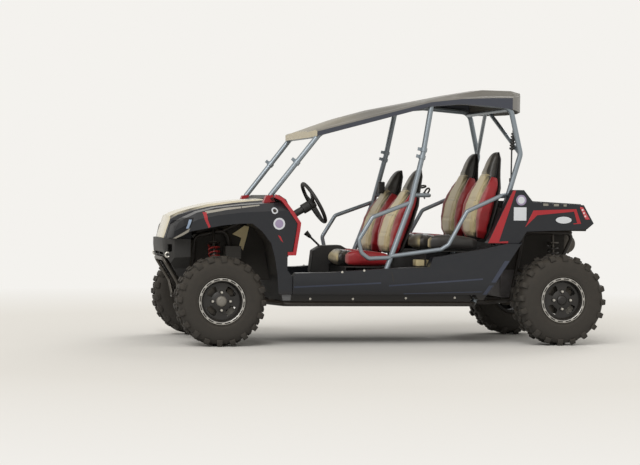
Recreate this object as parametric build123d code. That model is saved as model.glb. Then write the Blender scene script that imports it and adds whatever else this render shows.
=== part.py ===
"""Four-seat dune buggy with an open tube cage, in millimetres.

+X is forward, +Y is the driver's side and +Z is up. The origin is on the ground, below the
middle of the vehicle's length and width. The stations in X are drawn from the middle of the
body, and each part is moved forward at the end, as the rear tyres reach behind the body.
"""
from build123d import *
import os
from math import cos, hypot, radians, sin, tan

# Overall sizes
body_length = 3270
overall_width = 1537

# The stations and half widths below are drawn for this body, and move with the two sizes above
drawn_length = 3270
drawn_width = 1537
wheelbase = 2616
front_overhang = 382
length_scale = body_length / drawn_length
width_scale = overall_width / drawn_width
nose_x = drawn_length / 2
tail_x = -drawn_length / 2
front_axle_x = nose_x - front_overhang
rear_axle_x = front_axle_x - wheelbase

# Wheels
front_tyre_r = 333
front_tyre_w = 229
rear_tyre_r = 345
rear_tyre_w = 279
lug_count = 20
lug_h = 17
lug_w = 52
lug_stagger = 12
tread_twist = 18
rim_r = 152
rim_wall = 7
ring_r = 172
dish_depth = 40
hub_r = 44
bore_r = 24
cap_r = 40
disc_r = 112
disc_t = 8
disc_inset = 110
window_count = 4
window_r = 98
window_w = 84
window_h = 44
nut_r = 12
nut_circle_r = 74
nut_h = 12

# Clearances
seat_gap = 0.3
spindle_clearance = 0.05
disc_clearance = 1.5

# Body
panel_t = 6
rail_bottom_z = 290
rail_r = 18
brace_r = 16
rail_y = 300
cope_depth = 10
sill_rail_y = 600
sill_z = 384
quarter_inner_y = 590
quarter_outer_y = 665
decal_t = 2
tow_t = 10
tow_hole_r = 11

# Cage
cage_r = 20
cage_brace_r = 15
cage_bar_r = 16
cross_bar_r = 16
clamp_t = 6

# Seats
seat_y = 300
seat_half_w = 232
cushion_t = 128
back_height = 715
back_t = 112
front_foot = (-52, 690)
rear_foot = (-738, 806)
front_lean = 20
rear_lean = 14

# Steering
king_inset = 178.5
king_y = overall_width / 2 - king_inset
upright_inset = 243.5
upright_t = 87
king_pin_r = 10
ear_z = 88
steer_arm = 80
steer_arm_t = 14
rod_end_gap = 1.5
rod_end_half = 12
shaft_r = 9
silencer_r = 72

rail_z = rail_bottom_z + rail_r
floor_bottom = rail_z + rail_r + seat_gap
skirt_z = 330
tyre_reach = tail_x * length_scale - (rear_axle_x * length_scale - rear_tyre_r)
forward_shift = tyre_reach / 2


def mirrored(shape):
    """The same shape on the other side of the vehicle."""
    return shape.mirror(Plane.XZ)


def both_sides(shape):
    """A shape and its mirror image, as two solids of one node."""
    return [shape, mirrored(shape)]


def biggest(shape):
    """The largest solid of a result that may hold slivers."""
    return max(shape.solids(), key=lambda solid: solid.volume)


def outline_face(points, plane=Plane.XY):
    """A face inside straight edges, on a plane."""
    return plane * make_face(Polyline(*points, close=True))


def placed(point):
    """A drawn point, moved with the length and width of the body."""
    return (point[0] * length_scale, point[1] * width_scale, *point[2:])


def slab(points, y_low, y_high):
    """A drawn side profile in X and Z, from y_low to y_high."""
    face = outline_face([(x * length_scale, z) for x, z in points], Plane.XZ)
    low, high = y_low * width_scale, y_high * width_scale
    return Pos(0, high, 0) * extrude(face, amount=high - low)


def plan_slab(points, z_low, z_high):
    """A drawn plan outline in X and Y, from z_low to z_high."""
    return Pos(0, 0, z_low) * extrude(outline_face([placed(p) for p in points]), amount=z_high - z_low)


def cross_slab(points, x_low, x_high):
    """A drawn cross outline in Y and Z, from x_low to x_high."""
    face = outline_face([(y * width_scale, z) for y, z in points], Plane.YZ)
    low, high = x_low * length_scale, x_high * length_scale
    return Pos(low, 0, 0) * extrude(face, amount=high - low)


def block(low, high):
    """A box from its lowest to its highest corner."""
    size = [b - a for a, b in zip(low, high)]
    middle = [(a + b) / 2 for a, b in zip(low, high)]
    return Pos(*middle) * Box(*size)


def box_between(low, high):
    """A drawn box, moved with the body."""
    return block(placed(low), placed(high))


def ribbon(points, thickness):
    """The closed outline of a sheet folded along points, its thickness to the left of its way."""
    normals = []
    for (x0, z0), (x1, z1) in zip(points, points[1:]):
        run = hypot(x1 - x0, z1 - z0)
        normals.append((-(z1 - z0) / run, (x1 - x0) / run))
    other = []
    for index, (x, z) in enumerate(points):
        before = normals[max(index - 1, 0)]
        after = normals[min(index, len(normals) - 1)]
        share = thickness / (1 + before[0] * after[0] + before[1] * after[1])
        other.append((x + share * (before[0] + after[0]), z + share * (before[1] + after[1])))
    return points + other[::-1]


def bar(start, end, radius):
    """A straight round bar between two points."""
    axis = Vector(*end) - Vector(*start)
    return extrude(Plane(origin=start, z_dir=axis) * Circle(radius), amount=axis.length)


def rod(start, end, radius):
    """A straight round bar between two drawn points."""
    return bar(placed(start), placed(end), radius)


def tube(points, radius, bend):
    """A round bar along drawn points, with an arc at each corner."""
    points = [placed(point) for point in points]
    path = FilletPolyline(*points, radius=bend) if len(points) > 2 else Polyline(*points)
    return sweep(Plane(origin=path @ 0, z_dir=path % 0) * Circle(radius), path=path).solid()


def fused(pieces):
    """Pieces that touch, as one solid."""
    whole = pieces[0]
    for piece in pieces[1:]:
        whole = whole + piece
    return biggest(whole)


def on_y(radius, y_low, y_high, x=0, z=0):
    """A round bar along Y."""
    return Pos(x, (y_low + y_high) / 2, z) * Rot(90, 0, 0) * Cylinder(radius, y_high - y_low)


def on_z(radius, z_low, z_high, x=0, y=0):
    """A round bar along Z."""
    return Pos(x, y, (z_low + z_high) / 2) * Cylinder(radius, z_high - z_low)


hood_nose_x = nose_x - 11
# Front body: x, then half the outline as (y, z): hood crown, valley, fender crown, shoulder
front_sections = [
    (640, [(0, 1108), (290, 1104), (350, 1084), (520, 1080), (630, 1070), (700, 1010)]),
    (864, [(0, 1092), (285, 1088), (345, 1062), (520, 1066), (636, 1056), (703, 998)]),
    (1100, [(0, 1076), (265, 1070), (322, 1032), (510, 1046), (640, 1040), (705, 985)]),
    (1290, [(0, 1050), (245, 1042), (300, 996), (500, 1022), (630, 1016), (698, 962)]),
    (1420, [(0, 1018), (225, 1010), (275, 960), (480, 990), (590, 980), (650, 930)]),
    (1510, [(0, 990), (208, 982), (258, 930), (420, 942), (510, 928), (572, 880)]),
    (1570, [(0, 962), (195, 950), (245, 890), (360, 892), (430, 876), (480, 840)]),
    (hood_nose_x, [(0, 790), (180, 780), (225, 730), (280, 720), (330, 710), (360, 690)]),
]
hood_plan = [(872, 306), (1100, 290), (1290, 268), (1420, 245), (1510, 228), (1570, 215), (nose_x + 5, 200)]
# Side outline of the front fender, with the wheel arch along its lower edge
arch = [
    (822, sill_z), (832, 526), (853, 657), (882, 761), (949, 846), (1023, 904),
    (1117, 903), (1250, 888), (1382, 861), (1467, 841),
]
dash_edge = [(838, 1122), (782, 1095), (659, 913), (664, 866), (695, 672), (757, 671)]
trim_w = 26
bumper_top = 784 - seat_gap
grille_rows = 4
grille_z = 545
grille_pitch = 38
guard_r = 14
lamp_box = [(1440, 236, 788), (nose_x + 5, 470, 918)]
rocker_top = [
    (716, 516), (690, 541), (438, 546), (-14, 578), (-328, 591), (-356, 661), (-701, 718), (-933, 769),
]


def front_form(inset):
    """The front body's outer form, or that form a wall's thickness inside it."""
    faces = []
    for x, half in front_sections:
        if x == hood_nose_x:
            x -= inset
        points = [(max(y - inset, 0) if y else 0, z - inset) for y, z in half]
        points.append((points[-1][0], skirt_z - 10 * inset))
        whole = points + [(-y, z) for y, z in reversed(points) if y > 0]
        whole = [(y * width_scale, z) for y, z in whole]
        faces.append(Pos(x * length_scale, 0, 0) * outline_face(whole, Plane.YZ))
    return loft(faces, ruled=True).solid()


def mirror_plan(points, shift):
    """A plan outline on both sides of the middle, moved outwards by shift."""
    return [(x, y + shift) for x, y in points] + [(x, -y - shift) for x, y in reversed(points)]


def make_front_body():
    """Hood, one fender, its lamp and its wheel-well liner, cut from one form."""
    outer = front_form(0)
    shell = outer - front_form(panel_t)
    hood_cut = slab([(872, 1300), (872, 900), (1560, 784), (nose_x + 5, 784), (nose_x + 5, 1300)], -400, 400)
    hood = shell & plan_slab(mirror_plan(hood_plan, 0), 0, 1400) & hood_cut
    rear_edge = [
        (836, 1130), (800, 1098), (686, 918), (690, 870), (722, 700), (757, 697), (757, 560),
        (722, 520),
    ]
    front_edge = [(1560, 786), (nose_x + 5, 786), (nose_x + 5, 1130)]
    side = slab(rear_edge + [(722, sill_z)] + arch + front_edge, 180, 760)
    fender = shell & side
    fender -= plan_slab(mirror_plan(hood_plan, 1), 0, 1400)
    fender -= box_between((600, -606, 1010), (872 + 1, 606, 1200))
    fender -= box_between((600, -606, 0), (829, 606, 1200))
    fender -= box_between(*lamp_box)
    fender -= slab(ribbon(dash_edge, trim_w + 1), 590, 740)
    lamp_low, lamp_high = lamp_box
    lamp = front_form(panel_t / 2) & box_between(
        [v + seat_gap for v in lamp_low], [v - seat_gap for v in lamp_high]
    )
    liner_line = [
        (1390, 868), (1250, 895), (1117, 910), (1026, 911), (943, 852), (875, 765), (846, 658),
        (825, 520),
    ]
    liner = slab(ribbon(liner_line, -4), 345, 760) & front_form(panel_t + seat_gap)
    return biggest(hood), biggest(fender), biggest(lamp), biggest(liner)


def make_trim():
    """The red edge of the fender and dash, and the bracket at the pillar's foot."""
    limits = [(606.5, 500), (712, 500), (710, 1002), (665, 1080), (640, 1130), (606.5, 1130)]
    band = slab(ribbon(dash_edge, trim_w), 600, 720) & cross_slab(limits, 600, 900)
    return biggest(band)


def make_stripe():
    """The red chevron on the fender's shoulder, laid on its skin."""
    side = slab([(1356, 985), (1383, 985), (1374, 930), (1345, 868), (1332, 878), (1352, 930)], 300, 760)
    return biggest((front_form(-decal_t - seat_gap / 3) - front_form(-seat_gap / 3)) & side)


def make_bracket(dash):
    """The red bracket at the foot of a windscreen pillar."""
    block = slab([(925, 1040), (893, 1113), (846, 1117), (828, 1070), (828, 1030), (874.5, 1030)], 490, 556)
    return biggest(block - front_form(-seat_gap) - dash)


# Side outline of the front fascia: top, nose, chin
bumper_side = [(nose_x, bumper_top), (nose_x, 731), (1618, 660), (1500, 470), (1440, 470), (1440, bumper_top)]
bumper_taper = [(330, 440), (345, 560), (425, 650), (425, 800)]
bumper_plan = [(1470, 425), (1560, 418), (1618, 330), (nose_x, 250)]


def bumper_form(inset):
    """The front fascia's form, or that form a wall's thickness inside it and open behind."""
    side = [(x - inset, z - inset if z > 500 else z - 10 * inset) for x, z in bumper_side]
    taper = [(y - inset, z + inset / 2) for y, z in bumper_taper]
    taper[0] = (taper[0][0], 440 - 10 * inset)
    plan = [(x - inset, y - inset) for x, y in bumper_plan]
    plan[0] = (1400, plan[0][1])
    outline = taper + [(-y, z) for y, z in reversed(taper)]
    return plan_slab(mirror_plan(plan, 0), 350, 850) & slab(side, -500, 500) & cross_slab(outline, 1380, 1700)


def make_bumper():
    """Lower front fascia: a hollow nose with a slotted grille and a chin that slopes back."""
    bumper = bumper_form(0) - bumper_form(panel_t)
    bumper &= box_between((1440, -500, 400), (1700, 500, 850))
    for row in range(grille_rows):
        z = grille_z + row * grille_pitch
        for low, high in ((-230, -12), (12, 230)):
            bumper -= box_between((1520, low, z), (nose_x + 5, high, z + grille_pitch / 2))
    for side in (1, -1):
        vent = [(345, 742), (395, 742), (395, 690), (345, 672)]
        bumper -= cross_slab([(y * side, z) for y, z in vent], 1560, 1640)
    return biggest(bumper)


def make_guard(frame):
    """The front guard tube, from one rail round the chin to the other."""
    half = [(1488, 188, rail_z + 34), (1508, 236, 452), (1617, 236, 630)]
    guard = tube(half + [(x, -y, z) for x, y, z in reversed(half)], guard_r, 42)
    return cut_by(biggest(guard - bumper_form(-seat_gap)), frame)


def make_rocker():
    """A sill panel, open below, from the front fender to the tip behind the rear door."""
    side = rocker_top + [(-1045, 769), (-1058, 785), (-751, 342), (-715, 342), (-690, sill_z), (716, sill_z)]
    section = [(600, 300), (704, 300), (704, 384), (722, 468), (710, 560), (696, 820), (600, 820)]
    outer = slab(side, 600, 740) & cross_slab(section, -1100, 760)
    inner_top = [
        (710, 512), (688, 535), (438, 540), (-14, 572), (-333, 585), (-361, 655), (-702, 712), (-934, 763),
    ]
    inner_side = inner_top + [(-1040, 763), (-1050, 771), (-740, 300), (710, 300)]
    inner_section = [(606, 200), (698, 200), (698, 384), (716, 468), (704, 560), (690, 830), (606, 830)]
    inner = slab(inner_side, 606, 740) & cross_slab(inner_section, -1100, 760)
    lip = box_between((-680, 600, floor_bottom), (710, 606, sill_z + 1))
    return biggest((outer - inner) + lip)


quarter_side = [
    (-789, 770), (-985, 1178), (-1074, 1178), (-1148, 1088), (-1554, 1069), (tail_x, 929),
    (-1582, 884), (-1317, 870), (-1100, 862), (-1042, 770),
]
tail_lamp = [(-1518, 1055), (-1545, 1054), (-1604, 958), (-1566, 958)]
accent = [(-794, 773), (-987, 1174), (-1010, 1174), (-880, 785), (-952, 789), (-952, 773)]
stripe = [
    (-1086, 896), (-1150, 1024), (-1492, 1038), (-1532, 926), (-1470, 922), (-1470, 928),
    (-1500, 931), (-1474, 1018), (-1180, 988),
]


def make_quarter():
    """One rear side panel with its flange inwards, its lamp and its red accents."""
    inner_side = [
        (-801, 776), (-989, 1172), (-1071, 1172), (-1145, 1082), (-1550, 1063), (-1627, 929),
        (-1579, 890), (-1317, 876), (-1097, 868), (-1038, 776),
    ]
    outer = slab(quarter_side, quarter_inner_y, quarter_outer_y)
    inner = slab(inner_side, quarter_inner_y - 5, quarter_outer_y - panel_t)
    lamp_face = outline_face([(x * length_scale, z) for x, z in tail_lamp], Plane.XZ)
    pocket_face = offset(lamp_face, seat_gap, kind=Kind.INTERSECTION)
    lamp_pocket = Pos(0, 700 * width_scale, 0) * extrude(pocket_face, amount=80)
    quarter = biggest(outer - inner - lamp_pocket)
    lamp = slab(tail_lamp, 625, quarter_outer_y + decal_t) & slab(inner_side, 500, 800)
    skin = quarter_outer_y + seat_gap / 3
    accents = [slab(points, skin, skin + decal_t) for points in (accent, stripe)]
    return quarter, biggest(lamp), accents




def seat_rear_x(z):
    """The station of the wall behind the rear seats at height z, parallel to their backs."""
    lean = radians(rear_lean)
    x = rear_foot[0] * length_scale - back_t * cos(lean)
    x -= (z - rear_foot[1] + back_t * sin(lean)) * tan(lean)
    return (x - (seat_gap + panel_t) / cos(lean)) / length_scale


front_platform = 715 - cushion_t - seat_gap - panel_t
rear_platform = 838 - cushion_t - seat_gap - panel_t
floor_line = [
    (846, 690), (775, floor_bottom), (292, floor_bottom), (292, front_platform), (-58, front_platform),
    (-58, floor_bottom), (-330, floor_bottom), (-330, rear_platform),
    (seat_rear_x(rear_platform), rear_platform), (seat_rear_x(1040), 1040),
]
dash_line = [(866, 1092), (806, 1118), (752, 1084), (672, 912), (678, 866), (712, 690), (770, 610)]


def make_floor():
    """The floor tub: toe board, footwells, seat platforms and the wall behind the rear seats."""
    half = sill_rail_y - seat_gap
    tub = slab(ribbon(floor_line, -panel_t), -half, half)
    inner = quarter_inner_y - seat_gap
    return biggest(tub - box_between((-1000, inner, 760), (-760, 620, 1200)) - box_between(
        (-1000, -620, 760), (-760, -inner, 1200)
    ))


def make_dash():
    """The dashboard's moulding across the cab, with the cowl in front of it."""
    dash = slab(ribbon(dash_line, panel_t), -598, 598)
    for side in (1, -1):
        dash -= tube([(x, y * side, z) for x, y, z in cage_side_line], cage_r + 1, 85)
    return biggest(dash)


def make_console():
    """The housing between the front seats, with a flat top."""
    base = floor_bottom + panel_t + seat_gap
    top = front_platform + panel_t + seat_gap
    front = 292 + panel_t + seat_gap
    side = [
        (448, base), (448, 555), (432, 694), (366, 733), (214, 737), (130, 690), (130, top),
        (front, top), (front, base),
    ]
    return biggest(slab(side, -62, 62))


def make_gear_lever():
    """A cranked lever with a tapered knob."""
    lever = rod((372, 0, 731), (452, 0, 806), 8)
    base = (Align.CENTER, Align.CENTER, Align.MIN)
    knob = Plane(origin=placed((440, 0, 795)), z_dir=(0.73, 0, 0.68)) * Cone(12, 22, 52, align=base)
    return biggest(lever + knob - make_console())


bed_front = -1062
bed_half = 584
bed_floor = 868.3


def make_bed():
    """An open cargo box with a sloping rear wall."""
    side = [
        (bed_front, bed_floor), (bed_front, 1096), (-1148, 1096), (-1556, 1076), (-1626, 935),
        (-1600, bed_floor),
    ]
    inner = [
        (bed_front - 8, bed_floor + 8), (bed_front - 8, 1200), (-1556, 1200), (-1547, 1076),
        (-1617, 935), (-1594, bed_floor + 8),
    ]
    return biggest(slab(side, -bed_half, bed_half) - slab(inner, -bed_half + 8, bed_half - 8))


# Roof: x, then z of the lower edge, of the fold above it and of the crown
roof_sections = [
    (556, 1552, 1600, 1612), (267, 1629, 1676, 1718), (20, 1698, 1745, 1787), (-357, 1800, 1846, 1864),
    (-600, 1823, 1876, 1916), (-832, 1812, 1888, 1957), (-1060, 1784, 1894, 1955), (-1182, 1776, 1880, 1925),
]
roof_plan = [
    (556, 1), (556, 470), (520, 584), (-1000, 584), (-1060, 500), (-1130, 360), (-1172, 160),
    (-1182, 1),
]
roof_t = 5
roof_half = 584
plateau_half = 340
rail_drop = 20
# Clamps under the roof: x, y, lower and upper z
roof_clamps = [(505, 300, 1570, 1600), (-357, 300, 1815, 1850), (-950, 300, 1800, 1890)]


def roof_form(inset):
    """The roof's form, or that form a wall's thickness inside it and open below."""
    faces = []
    for x, edge_z, fold_z, crown_z in roof_sections:
        channel_z = fold_z + 0.25 * (crown_z - fold_z) - 8
        half = [
            (0, crown_z), (plateau_half, crown_z - 10), (plateau_half + 55, channel_z),
            (roof_half - 24, fold_z), (roof_half, fold_z - 14), (roof_half, edge_z),
        ]
        points = [(y - inset if y > 500 else y, z - inset) for y, z in half]
        points[-1] = (points[-1][0], edge_z - 10 * inset)
        points = [(-y, z) for y, z in reversed(points) if y > 0] + points
        points = [(y * width_scale, z) for y, z in points]
        faces.append(Pos(x * length_scale, 0, 0) * outline_face(points, Plane.YZ))
    return loft(faces, ruled=True)


def make_roof():
    """A crowned roof panel with a raised middle, channels beside it and a flange all round."""
    face = outline_face([placed(point) for point in mirror_plan(roof_plan, 0)])
    wall = offset(face, -roof_t, kind=Kind.INTERSECTION)
    outer = roof_form(0) & Pos(0, 0, 1400) * extrude(face, amount=700)
    inner = roof_form(roof_t) & Pos(0, 0, 1400) * extrude(wall, amount=700)
    return biggest(outer - inner)


cage_side_line = [
    (862, 524, 1110), (488, 545, 1587), (-357, 552, 1820), (-600, 554, 1842), (-990, 556, 1812),
    (-1072, 566, 1451), (-962, 560, 1080), (-900, 556, 760), (-720, 540, rail_z + 6),
]
middle_post = [(-8, 630, 560), (-204, 606, 1075), (-300, 585, 1453), (-368, 556, 1818)]
side_bar_front = [
    (-204, 606, 1075), (103, 648, 960), (209, 652, 787), (188, 652, 694), (129, 650, 650),
    (-38, 636, 658),
]
side_bar_rear = [
    (-976, 561, 1142), (-900, 630, 1132), (-628, 650, 1010), (-486, 652, 757), (-429, 652, 722),
    (-43, 636, 668),
]
# Collars on the cage: the run that each sits on and how far along it
collars = [("side", 0, 0.53), ("post", 1, 0.9), ("post", 2, 0.05)]


def side_rails(extra):
    """Both side hoops of the cage as one cutting shape, thicker by extra."""
    rail = tube(cage_side_line, cage_r + extra, 85)
    return rail + mirrored(rail)


def make_cage():
    """Side hoops, middle hoop, cross bars, rear braces and the side bars of the cab."""
    side = tube(cage_side_line, cage_r, 85)
    rails = side_rails(seat_gap)
    front_bar = biggest(rod((505, -540, 1566), (505, 540, 1566), cross_bar_r) - rails)
    rear_low = biggest(rod((-975, -561, 1130), (-975, 561, 1130), cross_bar_r) - rails)
    low_cutter = rod((-975, -575, 1130), (-975, 575, 1130), cross_bar_r + seat_gap)
    rear_top = rod((-975, -554, 1790), (-975, 554, 1790), cross_bar_r)
    for y in (1, -1):
        rear_top += rod((-975, 50 * y, 1790), (-1066, 560 * y, 1460), cage_brace_r)
    rear_top = biggest(rear_top - rails)
    rocker = make_rocker()
    post = tube(middle_post, cage_r, 120) - rails
    post = biggest(post - rocker)
    post_cutter = tube(middle_post, cage_r + seat_gap, 120)
    post_cutters = post_cutter + mirrored(post_cutter)
    over = biggest(rod((-368, -540, 1818), (-368, 540, 1818), cross_bar_r) - rails - post_cutters)
    half_bar = [(-221, 600, 1130), (-372, 520, 1130)]
    shoulder = tube(half_bar + [(x, -y, z) for x, y, z in reversed(half_bar)], cross_bar_r, 50)
    shoulder = biggest(shoulder - post_cutters)
    hoop = both_sides(post) + [over, shoulder]
    panel = slab(quarter_side, quarter_inner_y - seat_gap, quarter_outer_y + 1)
    bars = [
        biggest(tube(side_bar_front, cage_bar_r, 42) - post_cutter),
        biggest(tube(side_bar_rear, cage_bar_r, 42) - post_cutter - rails - panel - low_cutter),
    ]
    return side, front_bar, hoop, post_cutters, [rear_top, rear_low], bars


def make_collars():
    """Split collars with a bolted lug, round the cage's tubes."""
    lines = {"side": cage_side_line, "post": middle_post}
    pieces = []
    for name, run, share in collars:
        start, end = placed(lines[name][run]), placed(lines[name][run + 1])
        middle = along(start, end, share)
        axis = Vector(*end) - Vector(*start)
        place = Plane(origin=middle, z_dir=axis, x_dir=(0, 1, 0))
        ring = Pos(0, 0, -14) * extrude(Circle(cage_r + clamp_t) - Circle(cage_r + seat_gap), amount=28)
        lug = Pos(0, -cage_r - 14, 0) * Box(10, 26, 24) - Cylinder(cage_r + seat_gap, 40)
        pieces.append(place * biggest(ring + lug))
    return pieces


def frame_lines():
    """The frame's tubes in the order in which each is coped to those before it."""
    z = rail_z
    lines = []
    for side in (1, -1):
        main_rail = [
            (1500, 185 * side, z + 30), (1000, 190 * side, z + 12), (800, rail_y * side, z),
            (-900, rail_y * side, z), (-1080, 215 * side, z + 10), (-1500, 215 * side, z + 40),
        ]
        lines.append(("rail", main_rail, rail_r, 40))
    for side in (1, -1):
        sill = [
            (842, 320 * side, z), (760, sill_rail_y * side, z),
            (-700, sill_rail_y * side, z), (-800, 300 * side, z),
        ]
        lines.append(("rail", sill, rail_r, 60))
    spans = [(-sill_rail_y, -rail_y), (-rail_y, rail_y), (rail_y, sill_rail_y)]
    for x in (700, 250, -250, -640):
        for low, high in spans:
            run = [(x, low + cope_depth, z), (x, high - cope_depth, z)]
            lines.append(("cross", run, brace_r, 0))
    for x, half, lift in ((1400, 186, 24), (1060, 190, 14), (-1180, 216, 16), (-1480, 216, 38)):
        lines.append(("cross", [(x, -half, z + lift), (x, half, z + lift)], brace_r, 0))
    for side in (1, -1):
        front_tower = [
            (1400, 186 * side, z + 24), (1385, 250 * side, 800), (1150, 300 * side, 850),
            (1040, 200 * side, z + 14),
        ]
        rear_tower = [
            (-1120, 216 * side, z + 10), (-1180, 330 * side, 852), (-1590, 340 * side, 852),
            (-1500, 320 * side, 650), (-1460, 216 * side, z + 36),
        ]
        lines.append(("tower", front_tower, brace_r, 60))
        lines.append(("tower", rear_tower, brace_r, 45))
        lines.append(("tower", [(1170, 296 * side, 846), (880, 500 * side, 1000)], brace_r, 0))
    lines.append(("tower", [(1385, -250, 800), (1385, 250, 800)], brace_r, 0))
    lines.append(("tower", [(-1560, -338, 852), (-1560, 338, 852)], brace_r, 0))
    return lines


def near(one, other):
    """Whether the boxes of two shapes meet."""
    a, b = one.bounding_box(), other.bounding_box()
    apart = (
        a.min.X > b.max.X or b.min.X > a.max.X or a.min.Y > b.max.Y or b.min.Y > a.max.Y
        or a.min.Z > b.max.Z or b.min.Z > a.max.Z
    )
    return not apart


def cut_by(piece, cutters):
    """A piece less each cutter that comes near it."""
    for cutter in cutters:
        if near(piece, cutter):
            piece = biggest(piece - cutter)
    return piece


def make_frame():
    """The frame's tubes and tow plates, coped at their ends, and the shapes that cut what meets them."""
    groups = {"rail": [], "cross": [], "tower": []}
    cutters = []
    for group, points, radius, bend in frame_lines():
        piece = cut_by(tube(points, radius, bend), cutters)
        groups[group].append(piece)
        cutters.append(tube(points, radius + seat_gap, bend))
    z = rail_z
    for low_x, high_x, hole_x, lift in ((1390, 1525, 1495, 30), (-1575, -1470, -1545, 38)):
        plate = box_between((low_x, -45, z + lift - tow_t / 2), (high_x, 45, z + lift + tow_t / 2))
        plate -= on_z(tow_hole_r, z, z + 80, hole_x * length_scale, 0)
        groups["cross"].append(cut_by(plate, cutters))
    return groups, cutters


def faceted_ring(profile, count):
    """A many-sided ring of flat faces whose cross outline, as (radius, y), runs round profile."""
    turns = [radians(360 / count * (index + 0.5)) for index in range(count)]
    corner = 1 / cos(radians(180 / count))
    faces = []
    for (radius_a, y_a), (radius_b, y_b) in zip(profile, profile[1:] + profile[:1]):
        for turn, next_turn in zip(turns, turns[1:] + turns[:1]):
            corners = []
            ends = [
                (radius_a, y_a, turn), (radius_b, y_b, turn), (radius_b, y_b, next_turn),
                (radius_a, y_a, next_turn),
            ]
            for radius, y, angle in ends:
                reach = radius * corner if radius < ring_r + 2 else radius
                corners.append((reach * sin(angle), y, -reach * cos(angle)))
            faces.append(Face(Wire.make_polygon(corners)))
    return Solid(Shell(faces))


def make_tyre(radius, width):
    """A many-sided tyre with a lug on each facet's shoulder and blocks between them."""
    half = width / 2
    floor_r = radius - lug_h
    bead, lip, open_r = rim_r + seat_gap, rim_r + 12.5, ring_r + 1
    carcass = faceted_ring([
        (lip, 2 - half), (floor_r - 40, -half), (floor_r, 30 - half), (floor_r, half - 30),
        (floor_r - 40, half),
        (open_r, half - 12.5), (bead, half - 12.5), (bead, 14.5 - half), (lip, 14.5 - half),
    ], lug_count)
    step = 360 / lug_count
    blocks = []
    for index in range(lug_count):
        turn = Rot(0, step * index + 90, 0)
        reach = lug_stagger * (index % 2)
        for side in (1, -1):
            shoulder = [
                (floor_r - 52, half - 3 - reach / 4), (radius - 6, half - 3 - reach / 4), (radius, half - 12),
                (radius, half - 66 + reach), (floor_r - 12, half - 66 + reach),
            ]
            face = outline_face([(r, y * side) for r, y in shoulder])
            blocks.append(turn * Pos(0, 0, -lug_w / 2) * extrude(face, amount=lug_w))
        if index % 2 == 0:
            low, high = (floor_r - 12, 72 - half, -lug_w / 2), (radius, half - 72, lug_w / 2)
            blocks.append(turn * Rot(tread_twist, 0, 0) * block(low, high))
    return biggest(carcass.fuse(*blocks))


def make_rim(width):
    """A rim with a slotted dish, a bolted ring, a cap, and the hub and disc behind it."""
    half = width / 2
    inner_r = rim_r - rim_wall
    dish_y = half - dish_depth
    rim = revolve(outline_face([
        (rim_r, 14 - half), (rim_r + 12, 12 - half), (rim_r + 12, 4 - half), (inner_r, 4 - half),
        (inner_r, dish_y), (20, dish_y - 12), (20, dish_y), (inner_r - 8, dish_y + 14),
        (rim_r - 6, half - 2), (ring_r, half), (ring_r, half - 8), (rim_r, half - 12),
    ]), axis=Axis.Y).solid()
    window = Pos(0, dish_y - 40, 0) * Rot(-90, 0, 0) * Pos(window_r, 0, 0) * extrude(
        RectangleRounded(window_h, window_w, 16), amount=80
    )
    disc_y = half - disc_inset
    rim += on_y(disc_r, disc_y - disc_t / 2, disc_y + disc_t / 2)
    rim += on_y(hub_r, disc_y, dish_y - 8)
    for index in range(window_count):
        turn = Rot(0, 360 / window_count * (index + 0.5), 0)
        rim -= turn * window & Pos(0, dish_y, 0) * Rot(90, 0, 0) * Cylinder(400, 70)
        rim += turn * Rot(0, 180 / window_count, 0) * on_y(nut_r, dish_y - 6, dish_y + nut_h, nut_circle_r, 0)
    rim += on_y(cap_r, dish_y - 6, dish_y + 14)
    rim -= on_y(bore_r, -width, dish_y - 2)
    return biggest(rim)


def at_wheel(shape, end, side):
    """Moves a wheel's piece from the origin to its axle, with its dish outwards."""
    if end == "front":
        place = Pos(front_axle_x * length_scale, overall_width / 2 - front_tyre_w / 2, front_tyre_r)
    else:
        place = Pos(rear_axle_x * length_scale, overall_width / 2 - rear_tyre_w / 2, rear_tyre_r)
    return place * shape if side > 0 else mirrored(place * shape)


def spindle_end():
    """How far out the spindle of a wheel reaches, from the middle plane."""
    return overall_width / 2 - dish_depth - 5


def make_caliper(x, z):
    """A brake caliper that straddles a wheel's disc."""
    disc_y = overall_width / 2 - disc_inset
    body = block((x - 92, disc_y - 50, z + 42), (x - 46, disc_y + 24, z + 92))
    gap = disc_t / 2 + disc_clearance
    return body - on_y(disc_r + disc_clearance, disc_y - gap, disc_y + gap, x, z)


def make_knuckle():
    """The left front upright: spindle, ears on the steering axis, steering arm and caliper."""
    x, y, z = front_axle_x * length_scale, king_y, front_tyre_r
    body = block((x - 46, y - 24, z - 60), (x + 36, y + 22, z + 60))
    body += on_z(16, z - ear_z, z - 50, x, y) + on_z(16, z + 50, z + ear_z, x, y)
    body += on_y(spindle_radius(), y + 10, spindle_end(), x, z)
    body += block((x - steer_arm, y - 22, z), (x - 40, y - 4, z + steer_arm_t))
    body += on_z(14, z, z + steer_arm_t, x - steer_arm, y - 13)
    body += block((x - 80, y, z + 44), (x - 40, y + 50, z + 60))
    body += make_caliper(x, z)
    for low, high in ((z - ear_z - 4, z - 58), (z + 58, z + ear_z + 4)):
        body -= on_z(king_pin_r + spindle_clearance, low, high, x, y)
    return biggest(body)


def spindle_radius():
    return bore_r - spindle_clearance


def make_rear_carrier():
    """The left rear upright, with its spindle and caliper."""
    x, y, z = rear_axle_x * length_scale, overall_width / 2 - upright_inset, rear_tyre_r
    body = block((x - 50, y, z - 92), (x + 50, y + upright_t, z + 92))
    body += on_y(spindle_radius(), y + upright_t - 12, spindle_end(), x, z)
    body += make_caliper(x, z)
    return biggest(body)


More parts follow.
